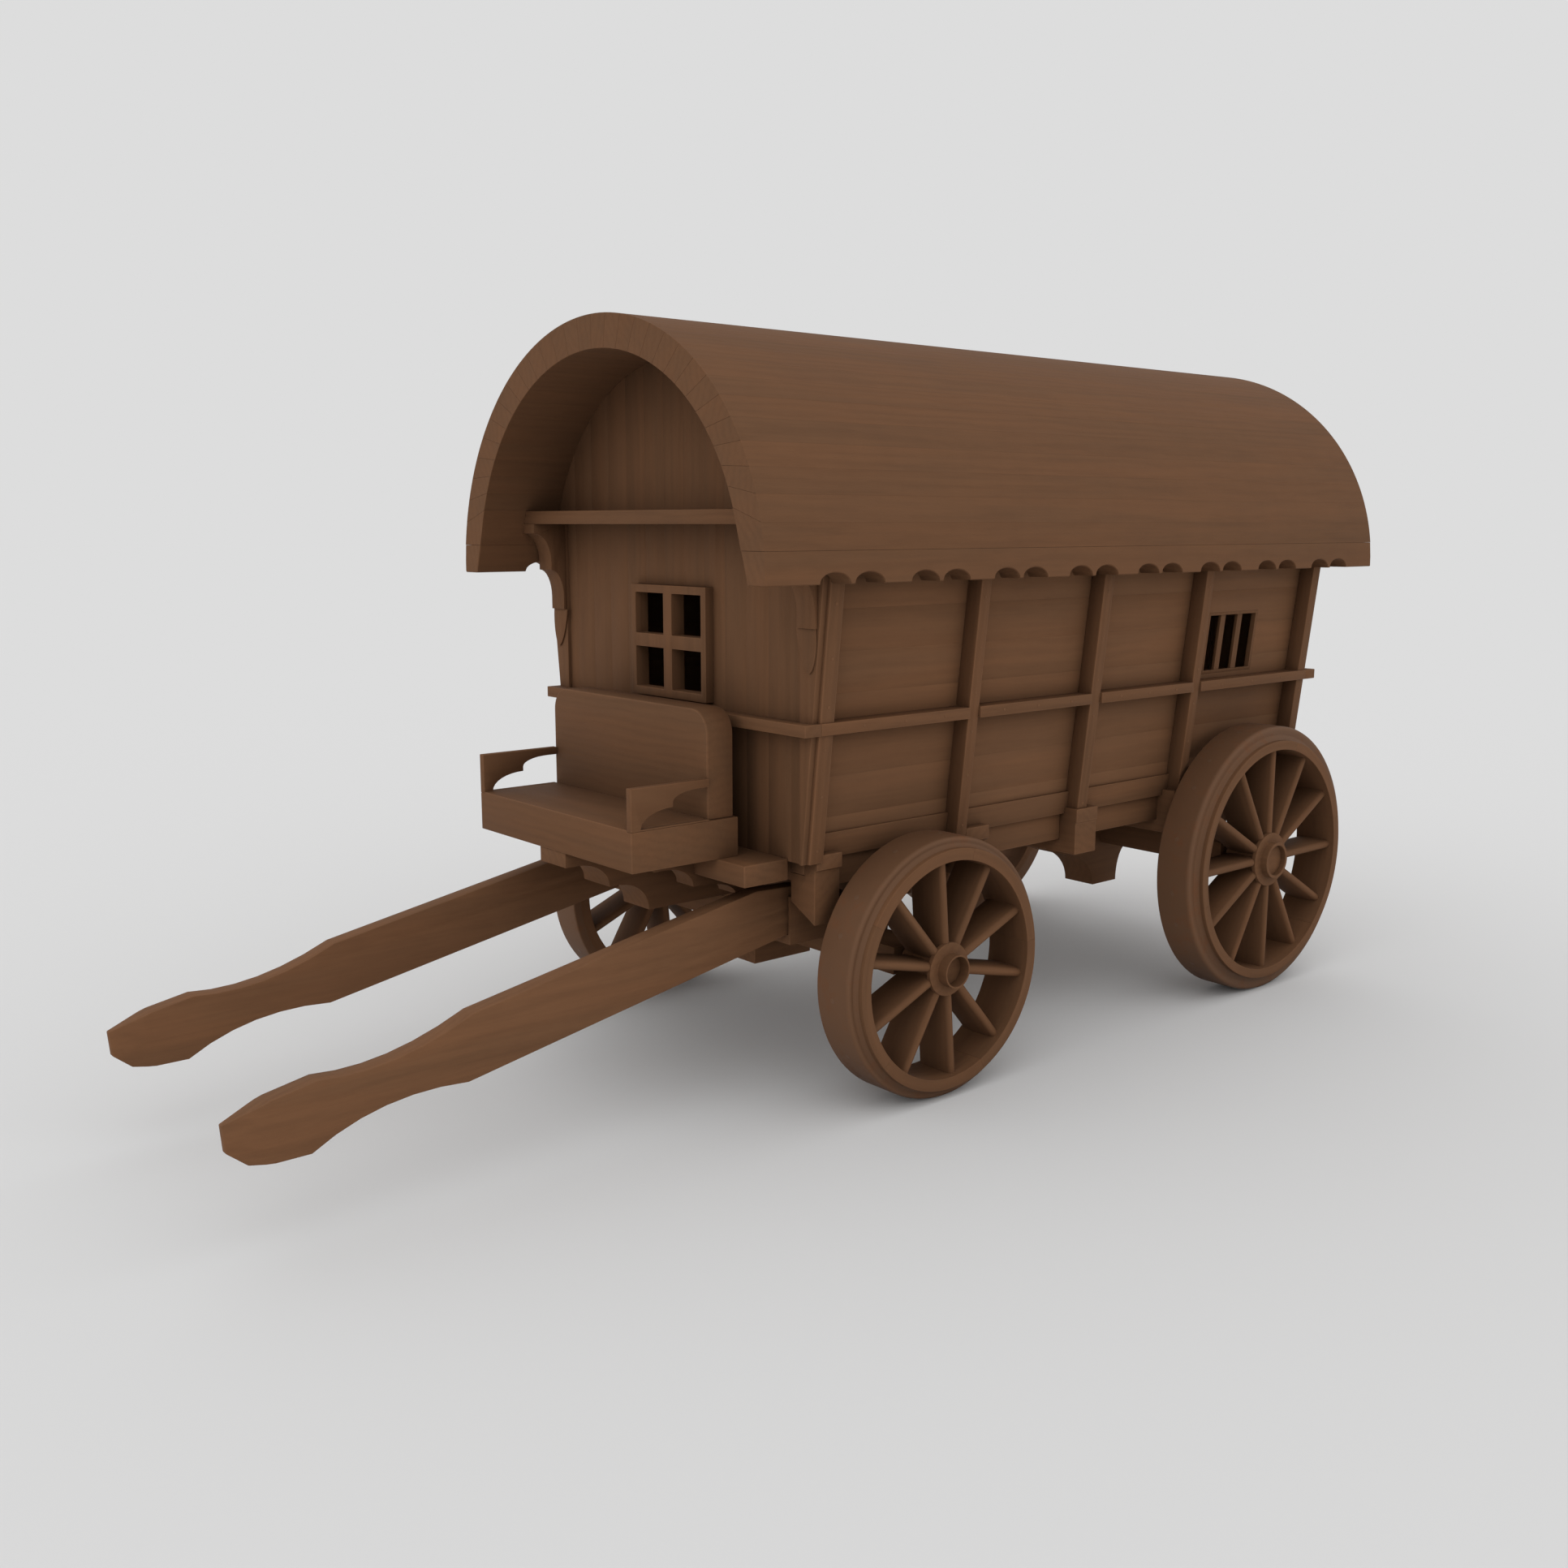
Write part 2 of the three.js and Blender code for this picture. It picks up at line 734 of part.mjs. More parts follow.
// An arm board with two coves cut out under its rail, down to the top of the seat.
function seatArm() {
  const rear = backFront - seam;
  const coveStart = seatFront + armPost;
  const coveEnd = -418;
  const rail = armTop - 31;
  const steps = [
    [seatFront, seatStand],
    [rear, seatStand],
    [rear, seatTop],
    [coveStart, seatTop],
    [coveEnd, seatTop, coveEnd - coveStart, 68, 180, 90],
    [coveEnd, rail - 37],
    [coveEnd + 118, rail - 37, 118, 37, 180, 90],
    [rear, rail],
    [rear, armTop],
    [seatFront, armTop],
  ];
  return sideways(steps, armInner, seatHalfWidth, 4);
}
placePair("seat_arm", seatArm(), pine);

const bracketTopUnderBody = frontBearerBottom - seam;
const bracketTopUnderPorch = porchBottom - seam;
const bracketTopUnderSeat = seatBottom - seam;
const porchEdge = -porchDepth - seam;

// The carved bracket under the middle of the seat, running back under the body.
const seatBracketFront = -602;
const seatBracketRear = 270;
const seatBracketStep = 827; // height of the step between its coves
const seatBracketBottom = 703;
const seatBracketOutline = [
  [seatBracketRear, bracketTopUnderBody],
  [-seam, bracketTopUnderBody],
  [-seam, bracketTopUnderPorch],
  [porchEdge, bracketTopUnderPorch],
  [porchEdge, bracketTopUnderSeat],
  [seatBracketFront, bracketTopUnderSeat],
  [seatBracketFront, seatBracketStep + 105],
  [-546, seatBracketStep + 5, 144, 100, 90, 0],
  [-402, seatBracketStep],
  [-345, seatBracketStep],
  [-345, seatBracketBottom, 132, 122, 90, 0],
  [seatBracketRear, seatBracketBottom],
];
const seatBracket = sideways(seatBracketOutline, -centreBracketHalfWidth, centreBracketHalfWidth, 5);
place("seat_bracket", seatBracket, oak);

// Smaller brackets either side of it, under the seat and the porch.
const porchBracketFront = -400;
const porchBracketRear = 140;
const porchBracketInner = 290;
const porchBracketOuter = 400;
const porchBracketStep = 856;
const porchBracketBottom = 796;
const porchBracketOutline = [
  [porchBracketRear, bracketTopUnderBody],
  [-seam, bracketTopUnderBody],
  [-seam, bracketTopUnderPorch],
  [porchEdge, bracketTopUnderPorch],
  [porchEdge, bracketTopUnderSeat],
  [porchBracketFront, bracketTopUnderSeat],
  [porchBracketFront, porchBracketStep + 84],
  [-345, porchBracketStep, 128, 84, 90, 0],
  [-165, porchBracketStep],
  [-165, porchBracketBottom, 155, 58, 90, 0],
  [porchBracketRear, porchBracketBottom],
];
const porchBracket = sideways(porchBracketOutline, porchBracketInner, porchBracketOuter, 4);
placePair("porch_bracket", porchBracket, oak);

// ---------------------------------------------------------------- chassis

const sillTop = bodyBottom - seam;
const sillFront = 57;

// Cross bearers under the sills: faces, how far their ends and lips reach, and whether the middle is
// raised. The first two stay clear of the turned front wheels.
const bearers = [
  { name: "front_bearer", front: sillFront, rear: 185, reach: 800, lipReach: 815, raised: true },
  { name: "fore_bearer", front: 873, rear: 1012, reach: 800, lipReach: 815, raised: false },
  { name: "middle_bearer", front: 1553, rear: 1697, reach: 832, lipReach: 838, raised: false },
  {
    name: "aft_bearer",
    front: bodyLength - 998,
    rear: bodyLength - 858,
    reach: 832,
    lipReach: 838,
    raised: false,
  },
  {
    name: "rear_bearer",
    front: bodyLength - 165,
    rear: bodyLength - 25,
    reach: 832,
    lipReach: 838,
    raised: false,
  },
];

const sillTimber = block(sillInner, sillOuter, sillFront, bodyLength, sillBottom, sillTop);
const sillLap = block(0, farOut, 0, bearers[0].rear + seam, 0, frontLapHeight);
placePair("sill", cut(sillTimber, [sillLap]), oak);

function sillNotch(seat) {
  return block(sillInner - seam, sillOuter + seam, 0, bodyLength + 10, seat - seam, sillTop + 1);
}

const ribNotches = ribs.map((rib) =>
  leaning(-seam, ribDepth, sillTop, lipTop + 1, rib.front - seam, rib.rear + seam),
);

for (const bearer of bearers) {
  const railFace = (z) => ribFace(z) - railInset + seam;
  const corners = [
    [-1, bearerBottom],
    [bearer.reach, bearerBottom],
    [bearer.reach, lipBottom],
    [bearer.lipReach, lipBottom + 8],
    [bearer.lipReach, lipTop],
    [railFace(lipTop), lipTop],
    [railFace(sillTop), sillTop],
    [-1, sillTop],
  ];
  const ear = [
    [earInner, earInnerBottom],
    [bearer.reach, earOuterBottom],
    [bearer.reach, frontBearerBottom],
    [earInner, frontBearerBottom],
  ];
  const timber = lengthways(corners, bearer.front, bearer.rear);
  const shaftRoom = block(-10, earInner, 0, bodyLength, 0, frontBearerBottom);
  const lowered = bearer.raised ? cut(timber, [shaftRoom]) : timber;
  const whole = bearer.raised ? lowered.add(lengthways(ear, bearer.front, bearer.rear)) : lowered;
  const seat = bearer.raised ? frontLapHeight : sillBottom;
  const half = cut(whole, [sillNotch(seat), ...ribNotches]);
  place(bearer.name, half.add(mirrored(half)), oak);
}

// ---------------------------------------------------------------- axles

// A square bed with a round arm at each end, on which a pair of wheels turns.
function axleBed(axle) {
  const half = axleBedHeight / 2;
  const deep = axleBedDepth / 2;
  const arms = axle.noseFace - axle.recessDepth - 2;
  const bed = block(
    -axleBedHalfWidth,
    axleBedHalfWidth,
    axle.station - deep,
    axle.station + deep,
    axle.radius - half,
    axle.radius + half,
  );
  return bed.add(crossBar(axleArmRadius, -arms, arms, axle.station, axle.radius));
}

const frontBedTop = axles.front.radius + axleBedHeight / 2;
const frontBedBottom = axles.front.radius - axleBedHeight / 2;
const rearBedTop = axles.rear.radius + axleBedHeight / 2;
const rearBedBottom = axles.rear.radius - axleBedHeight / 2;
const rearBedFront = axles.rear.station - axleBedDepth / 2;
const rearBedRear = axles.rear.station + axleBedDepth / 2;

place("rear_axle_bed", axleBed(axles.rear), oak);

const rearBolster = block(
  -sillOuter,
  sillOuter,
  rearBedFront + 10,
  rearBedRear - 10,
  rearBedTop + seam,
  sillBottom - seam,
);
place("rear_bolster", rearBolster, oak);

// The carved bracket under the rear axle, with an arm forward to the bearer in front of it.
const rearBracketBottom = axles.rear.radius - 279;
const armFront = axles.rear.station - 583;
const armRear = axles.rear.station - 360;
const footRear = axles.rear.station + 49;
const rearCoveEnd = axles.rear.station + 140;
const rearBracketOutline = [
  [armFront, bearerBottom - seam],
  [armFront, axles.rear.radius - 21],
  [armRear - 30, axles.rear.radius - 81],
  [armRear - 60, rearBracketBottom, 278, 198, 84, 0],
  [footRear, rearBracketBottom],
  [rearCoveEnd, rearBracketBottom, rearCoveEnd - footRear, 185, 180, 95],
  [rearCoveEnd, rearBedBottom - seam],
  [rearBedFront - seam, rearBedBottom - seam],
  [rearBedFront - seam, rearBedTop],
  [armRear, rearBedTop],
  [armRear, bearerBottom - seam],
];
const rearBracket = sideways(rearBracketOutline, -centreBracketHalfWidth, centreBracketHalfWidth, 5);
place("rear_axle_bracket", rearBracket, oak);

// ---------------------------------------------------------------- fore-carriage

const foreFront = axles.front.station - axleBedDepth / 2;
const foreRear = axles.front.station + axleBedDepth / 2;
const lowerPlateBottom = turntableHeight - plateThickness;
const upperPlateTop = turntableHeight + plateThickness;
const kingPinBottom = frontBedTop + 8;
const kingPinTop = upperPlateTop + 75;

function pinHole(radius, z0, z1) {
  return uprightBar(radius, z0, z1, 0, axles.front.station);
}

// Fixed to the body: the transom under the sills, its plate and the king pin.
const transomBottom = upperPlateTop + seam;
const transomBlock = block(-sillOuter, sillOuter, foreFront, foreRear, transomBottom, sillBottom - seam);
const fixedHole = pinHole(kingPinRadius + seam, 0, kingPinTop + seam);
place("front_transom", cut(transomBlock, [fixedHole]), oak);

const upperPlate = pinHole(turntableRadius, turntableHeight + seam / 2, upperPlateTop);
place("upper_turntable_plate", cut(upperPlate, [fixedHole]), iron);
place("king_pin", pinHole(kingPinRadius, kingPinBottom, kingPinTop), iron);

// Turning with the front wheels: the lower plate, the bolster and the axle bed.
const runningHole = pinHole(kingPinRadius + kingPinClearance, 0, turntableHeight + 1);
const lowerPlate = pinHole(turntableRadius, lowerPlateBottom, turntableHeight - seam / 2);
place("lower_turntable_plate", cut(lowerPlate, [runningHole]), iron);

const frontBolster = block(
  -bolsterHalfWidth,
  bolsterHalfWidth,
  foreFront,
  foreRear,
  frontBedTop + seam,
  lowerPlateBottom - seam,
);
place("front_bolster", cut(frontBolster, [runningHole]), oak);
place("front_axle_bed", axleBed(axles.front), oak);

const frontBracketFront = axles.front.station - 209;
const frontBracketRear = axles.front.station + 108;
const frontBracketBottom = axles.front.radius - 156;
const frontBracketShoulder = axles.front.radius - 85;
const frontBracketOutline = [
  [frontBracketFront, frontBracketBottom],
  [frontBracketRear, frontBracketBottom],
  [frontBracketRear, frontBracketBottom + 35],
  [foreRear, frontBracketShoulder],
  [foreRear, frontBedBottom - seam],
  [foreFront - seam, frontBedBottom - seam],
  [foreFront - seam, frontBedTop],
  [frontBracketFront + 64, frontBedTop],
  [frontBracketFront, frontBracketShoulder],
];
const frontBracket = sideways(frontBracketOutline, -centreBracketHalfWidth, centreBracketHalfWidth, 5);
place("front_axle_bracket", frontBracket, oak);

// ---------------------------------------------------------------- shafts and their hounds

const shaftInner = shaftCentre - shaftThickness / 2;
const shaftOuter = shaftCentre + shaftThickness / 2;
const lowerSlope = 0.187; // rise of the shaft's lower edge for each millimetre backwards
const slopeDegrees = THREE.MathUtils.radToDeg(Math.atan(lowerSlope));

// Height of the straight lower edge, which is tangent to the tail, drawn down by a margin.
function shaftUnderside(station, margin = 0) {
  const drop = (shaftTailRadius + margin) / Math.cos(Math.atan(lowerSlope));
  return pivotHeight - drop + lowerSlope * (station - pivotStation);
}

function shaft() {
  const steps = [
    [shaftTip, 441],
    [shaftTip + 8, 350],
    [shaftTip + 71, 298],
    [shaftTip + 152, 286],
    [-1867, 285],
    [-1630, 425, -1312, shaftUnderside(-1312)],
    [pivotStation, pivotHeight, shaftTailRadius, shaftTailRadius, slopeDegrees - 90, 90],
    [-63, 850],
    [-1285, 623],
    [-1580, 487, -1835, 521],
    [-1989, 492],
    [-2034, 477],
  ];
  const timber = sideways(steps, shaftInner, shaftOuter, 6);
  const hole = crossBar(
    shaftPinRadius + shaftPinClearance,
    shaftInner - 1,
    shaftOuter + 1,
    pivotStation,
    pivotHeight,
  );
  const wedge = [
    [shaftInner - 1, pivotStation + 200],
    [shaftInner - 1, shaftTipCut],
    [shaftCentre - shaftTipWidth / 2, shaftTip - 1],
    [shaftCentre + shaftTipWidth / 2, shaftTip - 1],
    [shaftOuter + 1, shaftTipCut],
    [shaftOuter + 1, pivotStation + 200],
  ];
  return cut(timber, [hole]).intersect(upwards(wedge, 0, 1000));
}
placePair("shaft", shaft(), oak);

// A hound: a block on the axle bed between two cheek plates, which hold the shaft's pin and close under
// the shaft in a rest that it lies on.
function hound() {
  const inner = shaftInner - cheekClearance;
  const outer = shaftOuter + cheekClearance;
  const bottom = frontBedTop + seam;
  const top = lowerPlateBottom - seam;
  const blockFront = pivotStation + shaftTailRadius + 60;
  const beam = block(inner - 1, outer + 1, blockFront, foreRear, bottom, top);
  const restFront = pivotStation - 58;
  const restRear = restFront + 44;
  const cheekBottom = frontBedTop + 30;
  const cheekTop = pivotHeight + 54;
  const cheek = [
    [restFront, cheekBottom],
    [blockFront + 120, cheekBottom],
    [blockFront + 120, top],
    [pivotStation + 60, cheekTop],
    [restFront, cheekTop],
  ];
  const rest = [
    [restFront, cheekBottom],
    [restRear, cheekBottom],
    [restRear, shaftUnderside(restRear, seam)],
    [restFront, shaftUnderside(restFront, seam)],
  ];
  const pinReach = cheekThickness + 4;
  return joined([
    beam,
    sideways(cheek, inner - cheekThickness, inner),
    sideways(cheek, outer, outer + cheekThickness),
    sideways(rest, inner - 1, outer + 1),
    crossBar(shaftPinRadius, inner - pinReach, outer + pinReach, pivotStation, pivotHeight),
  ]);
}
placePair("hound", hound(), oak);

// ---------------------------------------------------------------- wheels

// Radius of a polygon's corners that puts the middle of its sides at the given radius.
function cornerRadius(radius) {
  return radius / Math.cos(Math.PI / wheelSides);
}

function tyre(axle) {
  const outer = cornerRadius(axle.radius);
  const inner = cornerRadius(axle.radius - axle.tyreDepth + seam);
  const profile = [
    [inner, wheelInnerFace],
    [outer, wheelInnerFace],
    [outer, treadOuterFace],
    [inner, treadOuterFace],
  ];
  return turned(profile, wheelSides);
}

// The wooden wheel: hub, spokes and rim.
function woodenWheel(axle) {
  const rimOuter = cornerRadius(axle.radius - axle.tyreDepth);
  const rimInner = cornerRadius(axle.radius - axle.rimDepth);
  const rim = turned(
    [
      [rimInner, wheelInnerFace],
      [rimOuter, wheelInnerFace],
      [rimOuter, ringOuterFace],
      [rimInner, ringOuterFace],
    ],
    wheelSides,
  );
  const bore = axleArmRadius + armClearance;
  const recessFloor = axle.noseFace - axle.recessDepth;
  const hub = turned(
    [
      [bore, hubInnerFace],
      [hubInnerRadius, hubInnerFace],
      [axle.barrelRadius, hubInnerFace + 24],
      [axle.barrelRadius, hubFlangeRear],
      [axle.flangeRadius, hubFlangeRear + 6],
      [axle.flangeRadius, hubFlangeFront],
      [axle.noseRadius, hubFlangeFront],
      [axle.noseRadius, axle.noseFace],
      [axle.recessRadius, axle.noseFace],
      [axle.recessRadius, recessFloor],
      [bore, recessFloor],
    ],
    32,
  );
  const start = axle.barrelRadius - 10;
  const length = axle.radius - axle.rimDepth + 8 - start;
  const spokes = [];
  for (let i = 0; i < axle.spokes; i += 1) {
    const spoke = new THREE.CylinderGeometry(1, 1, length, 12);
    spoke.scale(spokeAxial / 2, 1, spokeTangential / 2);
    spoke.translate(spokeCentre, start + length / 2, 0);
    spoke.rotateX(THREE.MathUtils.degToRad(axle.firstSpokeDegrees) + (2 * Math.PI * i) / axle.spokes);
    spokes.push(solidFrom(spoke));
  }
  return joined([rim, hub, ...spokes]);
}

for (const end of ["front", "rear"]) {
  const axle = axles[end];
  const wheelPair = new THREE.Group();
  wheelPair.position.set(0, axle.station, axle.radius);
  wagon.add(wheelPair);
  placePair(end + "_wheel", woodenWheel(axle), oak, wheelPair);
  placePair(end + "_tyre", tyre(axle), iron, wheelPair);
}

export default wagon;
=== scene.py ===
"""A horse-drawn living wagon in plain brown wood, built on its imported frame. Metres, Z up, front at -Y."""

import json
import math
import random

import bmesh
import bpy
import numpy as np
from mathutils import Matrix, Vector

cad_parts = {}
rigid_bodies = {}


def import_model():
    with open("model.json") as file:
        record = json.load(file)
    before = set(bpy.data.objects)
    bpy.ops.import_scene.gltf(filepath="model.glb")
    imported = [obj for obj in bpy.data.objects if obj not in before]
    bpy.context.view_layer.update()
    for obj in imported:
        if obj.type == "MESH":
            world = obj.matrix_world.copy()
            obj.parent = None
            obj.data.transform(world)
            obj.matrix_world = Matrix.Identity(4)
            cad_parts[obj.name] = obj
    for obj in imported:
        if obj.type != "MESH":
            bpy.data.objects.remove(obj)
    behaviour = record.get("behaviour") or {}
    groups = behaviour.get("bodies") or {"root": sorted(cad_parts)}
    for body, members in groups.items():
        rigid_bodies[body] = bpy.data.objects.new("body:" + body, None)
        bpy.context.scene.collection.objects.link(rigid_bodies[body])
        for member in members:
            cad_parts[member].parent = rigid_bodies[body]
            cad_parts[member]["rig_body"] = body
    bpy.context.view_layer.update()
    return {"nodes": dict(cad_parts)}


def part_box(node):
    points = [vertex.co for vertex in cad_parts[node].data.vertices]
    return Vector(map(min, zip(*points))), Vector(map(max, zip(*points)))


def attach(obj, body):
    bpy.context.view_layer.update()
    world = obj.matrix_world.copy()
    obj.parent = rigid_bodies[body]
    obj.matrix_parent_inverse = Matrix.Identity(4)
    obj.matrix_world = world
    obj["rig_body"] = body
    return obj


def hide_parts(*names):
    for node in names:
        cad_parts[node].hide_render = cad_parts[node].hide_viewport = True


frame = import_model()
nodes = frame["nodes"]
front_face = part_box("front_wall")[0].y  # the outer face of the front wall
rear_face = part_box("rear_wall")[1].y

# ---------------------------------------------------------------- camera
# Stands off the driver's left front corner, a little above the eaves and tipped down, with a lens that is
# slightly wide for its frame.
def link(name, data):
    """A new object, put in the scene."""
    made = bpy.data.objects.new(name, data)
    bpy.context.scene.collection.objects.link(made)
    return made


camera = link("camera", bpy.data.cameras.new("camera"))
camera.location = (5.000, -4.319, 2.246)
camera.rotation_euler = (math.radians(80.215), 0.0, math.radians(49.973))
camera.data.lens = 34.70
camera.data.sensor_width = 36.0
camera.data.clip_end = 400.0
bpy.context.scene.camera = camera


# ---------------------------------------------------------------- light, air and floor
# An even white sky with a weak, very soft sun high over the left front corner, and under the wheels a plain
# pale floor that runs out of sight.
class Number:
    """A shader socket that carries a number, and does sums with Python's signs."""

    def __init__(self, tree, socket):
        self.tree = tree
        self.socket = socket

    def sum_with(self, operation, other):
        node = self.tree.nodes.new("ShaderNodeMath")
        node.operation = operation
        for inlet, value in zip(node.inputs, (self, other)):
            join(self.tree, value, inlet)
        return Number(self.tree, node.outputs[0])

    def __add__(self, other):
        return self.sum_with("ADD", other)

    __radd__ = __add__

    def __sub__(self, other):
        return self.sum_with("SUBTRACT", other)

    def __mul__(self, other):
        return self.sum_with("MULTIPLY", other)

    __rmul__ = __mul__

    def __pow__(self, other):
        return self.sum_with("POWER", other)


def join(tree, value, inlet):
    """Links a socket to an inlet, or sets the inlet to a plain value."""
    if isinstance(value, Number):
        value = value.socket
    if isinstance(value, bpy.types.NodeSocket):
        tree.links.new(value, inlet)
    else:
        inlet.default_value = value


class Tree:
    """A node tree under construction: a material's, the world's, or one that sets out copies of a shape."""

    def __init__(self, owner):
        self.owner = owner
        self.tree = owner
        if hasattr(owner, "use_nodes"):
            owner.use_nodes = True
            self.tree = owner.node_tree
        self.tree.nodes.clear()

    def node(self, kind, settings=None, sockets=None):
        made = self.tree.nodes.new(kind)
        for name, value in (settings or {}).items():
            setattr(made, name, value)
        for name, value in (sockets or {}).items():
            join(self.tree, value, made.inputs[name])
        return made

    def number(self, made, outlet=0):
        return Number(self.tree, made.outputs[outlet])

    def noise(self, vector, scale, detail, roughness=0.5, distortion=0.0):
        made = self.node(
            "ShaderNodeTexNoise",
            {"noise_dimensions": "3D"},
            {
                "Vector": vector,
                "Scale": scale,
                "Detail": detail,
                "Roughness": roughness,
                "Distortion": distortion,
            },
        )
        return self.number(made, "Fac")

    def stretched(self, vector, scale):
        made = self.node("ShaderNodeMapping", {"vector_type": "POINT"}, {"Vector": vector, "Scale": scale})
        return made.outputs[0]

    def spread(self, value, low, high, to_low=0.0, to_high=1.0):
        made = self.node(
            "ShaderNodeMapRange",
            {"clamp": True},
            {"Value": value, "From Min": low, "From Max": high, "To Min": to_low, "To Max": to_high},
        )
        return self.number(made)

    def blend(self, factor, first, second, mode="MIX"):
        settings = {"data_type": "RGBA", "blend_type": mode}
        return self.node("ShaderNodeMix", settings, {0: factor, 6: first, 7: second}).outputs[2]

    def surface(self, sockets):
        """Ends a material with one plain surface, and hands the material back."""
        shader = self.node("ShaderNodeBsdfPrincipled", None, sockets)
        self.node("ShaderNodeOutputMaterial", None, {"Surface": shader.outputs[0]})
        return self.owner


sky_strength = 0.98
backdrop_grey = (0.723, 0.723, 0.723, 1.0)
sun_strength = 0.30
sun_lean, sun_turn, sun_width = math.radians(38), math.radians(32), math.radians(55)

world = bpy.data.worlds.new("sky")
bpy.context.scene.world = world
sky = Tree(world)
rays = sky.node("ShaderNodeLightPath")
seen = (
    sky.number(rays, "Is Camera Ray")
    + sky.number(rays, "Is Glossy Ray")
    + sky.number(rays, "Is Transmission Ray")
)
lighting = sky.node("ShaderNodeBackground", None, {"Color": (1.0, 1.0, 1.0, 1.0), "Strength": sky_strength})
showing = sky.node("ShaderNodeBackground", None, {"Color": backdrop_grey, "Strength": 1.0})
either = sky.node("ShaderNodeMixShader", None, {0: seen, 1: lighting.outputs[0], 2: showing.outputs[0]})
sky.node("ShaderNodeOutputWorld", None, {"Surface": either.outputs[0]})

sun = link("sun", bpy.data.lights.new("sun", "SUN"))
sun.data.energy = sun_strength
sun.data.angle = sun_width
sun.rotation_euler = (sun_lean, 0.0, sun_turn)

floor_reach, floor_drop = 150.0, 0.001
sun_on_floor = sun_strength * math.cos(sun_lean) / math.pi
floor_shade = backdrop_grey[0] / (sky_strength + sun_on_floor)
floor_mesh = bpy.data.meshes.new("studio_floor")
corner_signs = ((-1, -1), (1, -1), (1, 1), (-1, 1))
floor_corners = [(floor_reach * a, floor_reach * b, -floor_drop) for a, b in corner_signs]
floor_mesh.from_pydata(floor_corners, [], [(0, 1, 2, 3)])
studio_floor = link("studio_floor", floor_mesh)
paint = Tree(bpy.data.materials.new("floor_paint"))
floor_grey = (floor_shade, floor_shade, floor_shade, 1.0)
floor_mesh.materials.append(
    paint.surface({"Base Color": floor_grey, "Roughness": 1.0, "Specular IOR Level": 0.0})
)
bpy.context.scene.view_settings.view_transform = "Standard"


# ---------------------------------------------------------------- side walls, end walls and floor
# Softwood boards, 25 mm thick in the walls and 30 mm in the floor, laid lengthways along the sides and floor
# and upright across the ends. They meet in hairline joints under one thin coat of matt brown.
# Painted shade: how far out, how strongly and down to what darkness the base colour is darkened in corners
# and recesses.
painted_shade_reach, painted_shade_strength, painted_shade_darkness = 0.42, 0.62, 0.30
log_size = 40.0  # each timber takes its figure from its own place in a block this big, in metres


def toned(colour, red, green, blue):
    """A colour with each of its channels made stronger or weaker."""
    return (colour[0] * red, colour[1] * green, colour[2] * blue, 1.0)


def at_brightness(colour, share):
    return toned(colour, share, share, share)


def shaded(coat, body, colour, shade):
    """The body colour, lightened and darkened by the shade argument, with painted shade laid into corners and
    recesses.
    """
    grey = coat.node("ShaderNodeCombineColor", None, {0: shade, 1: shade, 2: shade}).outputs[0]
    unshaded = coat.blend(1.0, body, grey, "MULTIPLY")
    # Painted shade: an ambient-occlusion reading darkens the colour wherever other surfaces are close by.
    near = coat.node("ShaderNodeAmbientOcclusion", {"samples": 6}, {"Distance": painted_shade_reach})
    painted_shade_amount = coat.spread(coat.number(near, "AO"), 0.16, 0.92, painted_shade_strength, 0.0) ** 1.25
    return coat.blend(painted_shade_amount, unshaded, at_brightness(colour, painted_shade_darkness))


def wood(name, colour, contrast, roughness, depth):
    """A coat of brown over visible grain. The grain attribute runs along the timber's own length in X."""
    coat = Tree(bpy.data.materials.new(name))
    grain = coat.node("ShaderNodeAttribute", {"attribute_name": "grain"}).outputs["Vector"]
    tone = coat.number(coat.node("ShaderNodeAttribute", {"attribute_name": "tone"}), "Fac")
    place = coat.node("ShaderNodeTexCoord").outputs["Object"]
    fibres = coat.noise(coat.stretched(grain, (2.2, 60.0, 60.0)), 1.0, 7.0, 0.62)
    broad = coat.noise(coat.stretched(grain, (0.7, 6.5, 6.5)), 1.0, 3.0, 0.5, 0.6)
    figure = coat.node(
        "ShaderNodeTexWave",
        {"wave_type": "RINGS", "rings_direction": "X"},
        {
            "Vector": coat.stretched(grain, (0.22, 1.0, 1.0)),
            "Scale": 9.0,
            "Distortion": 5.5,
            "Detail": 3.0,
            "Detail Scale": 1.3,
            "Detail Roughness": 0.55,
        },
    )
    rings = coat.number(figure, "Fac") ** 1.6
    pores = coat.spread(coat.noise(coat.stretched(grain, (28.0, 620.0, 620.0)), 1.0, 2.0, 0.5), 0.60, 0.72)
    weather = coat.noise(place, 1.7, 5.0, 0.6)
    smudge = coat.noise(place, 9.0, 4.0, 0.65)
    streak = coat.spread(fibres, 0.30, 0.72)
    shade = (
        1.0
        + contrast * (streak - 0.5)
        + 0.7 * contrast * (coat.spread(broad, 0.3, 0.7) - 0.5)
        - 0.5 * contrast * rings
        + 0.14 * (weather - 0.5)
        + 0.10 * (smudge - 0.5)
        - 0.22 * contrast * pores
        + 0.25 * contrast
        + 0.02 * tone
    )
    body = coat.blend(coat.spread(broad, 0.35, 0.65), colour, toned(colour, 1.03, 0.985, 0.95))
    rough = roughness + 0.10 * (streak - 0.5) + 0.16 * (weather - 0.5) + 0.05 * pores
    height = 0.55 * streak + 0.35 * rings - 0.6 * pores + 0.25 * smudge
    bump = coat.node("ShaderNodeBump", None, {"Strength": 0.5, "Distance": depth, "Height": height})
    return coat.surface(
        {
            "Base Color": shaded(coat, body, colour, shade),
            "Roughness": rough,
            "Specular IOR Level": 0.10,
            "Normal": bump.outputs[0],
        }
    )


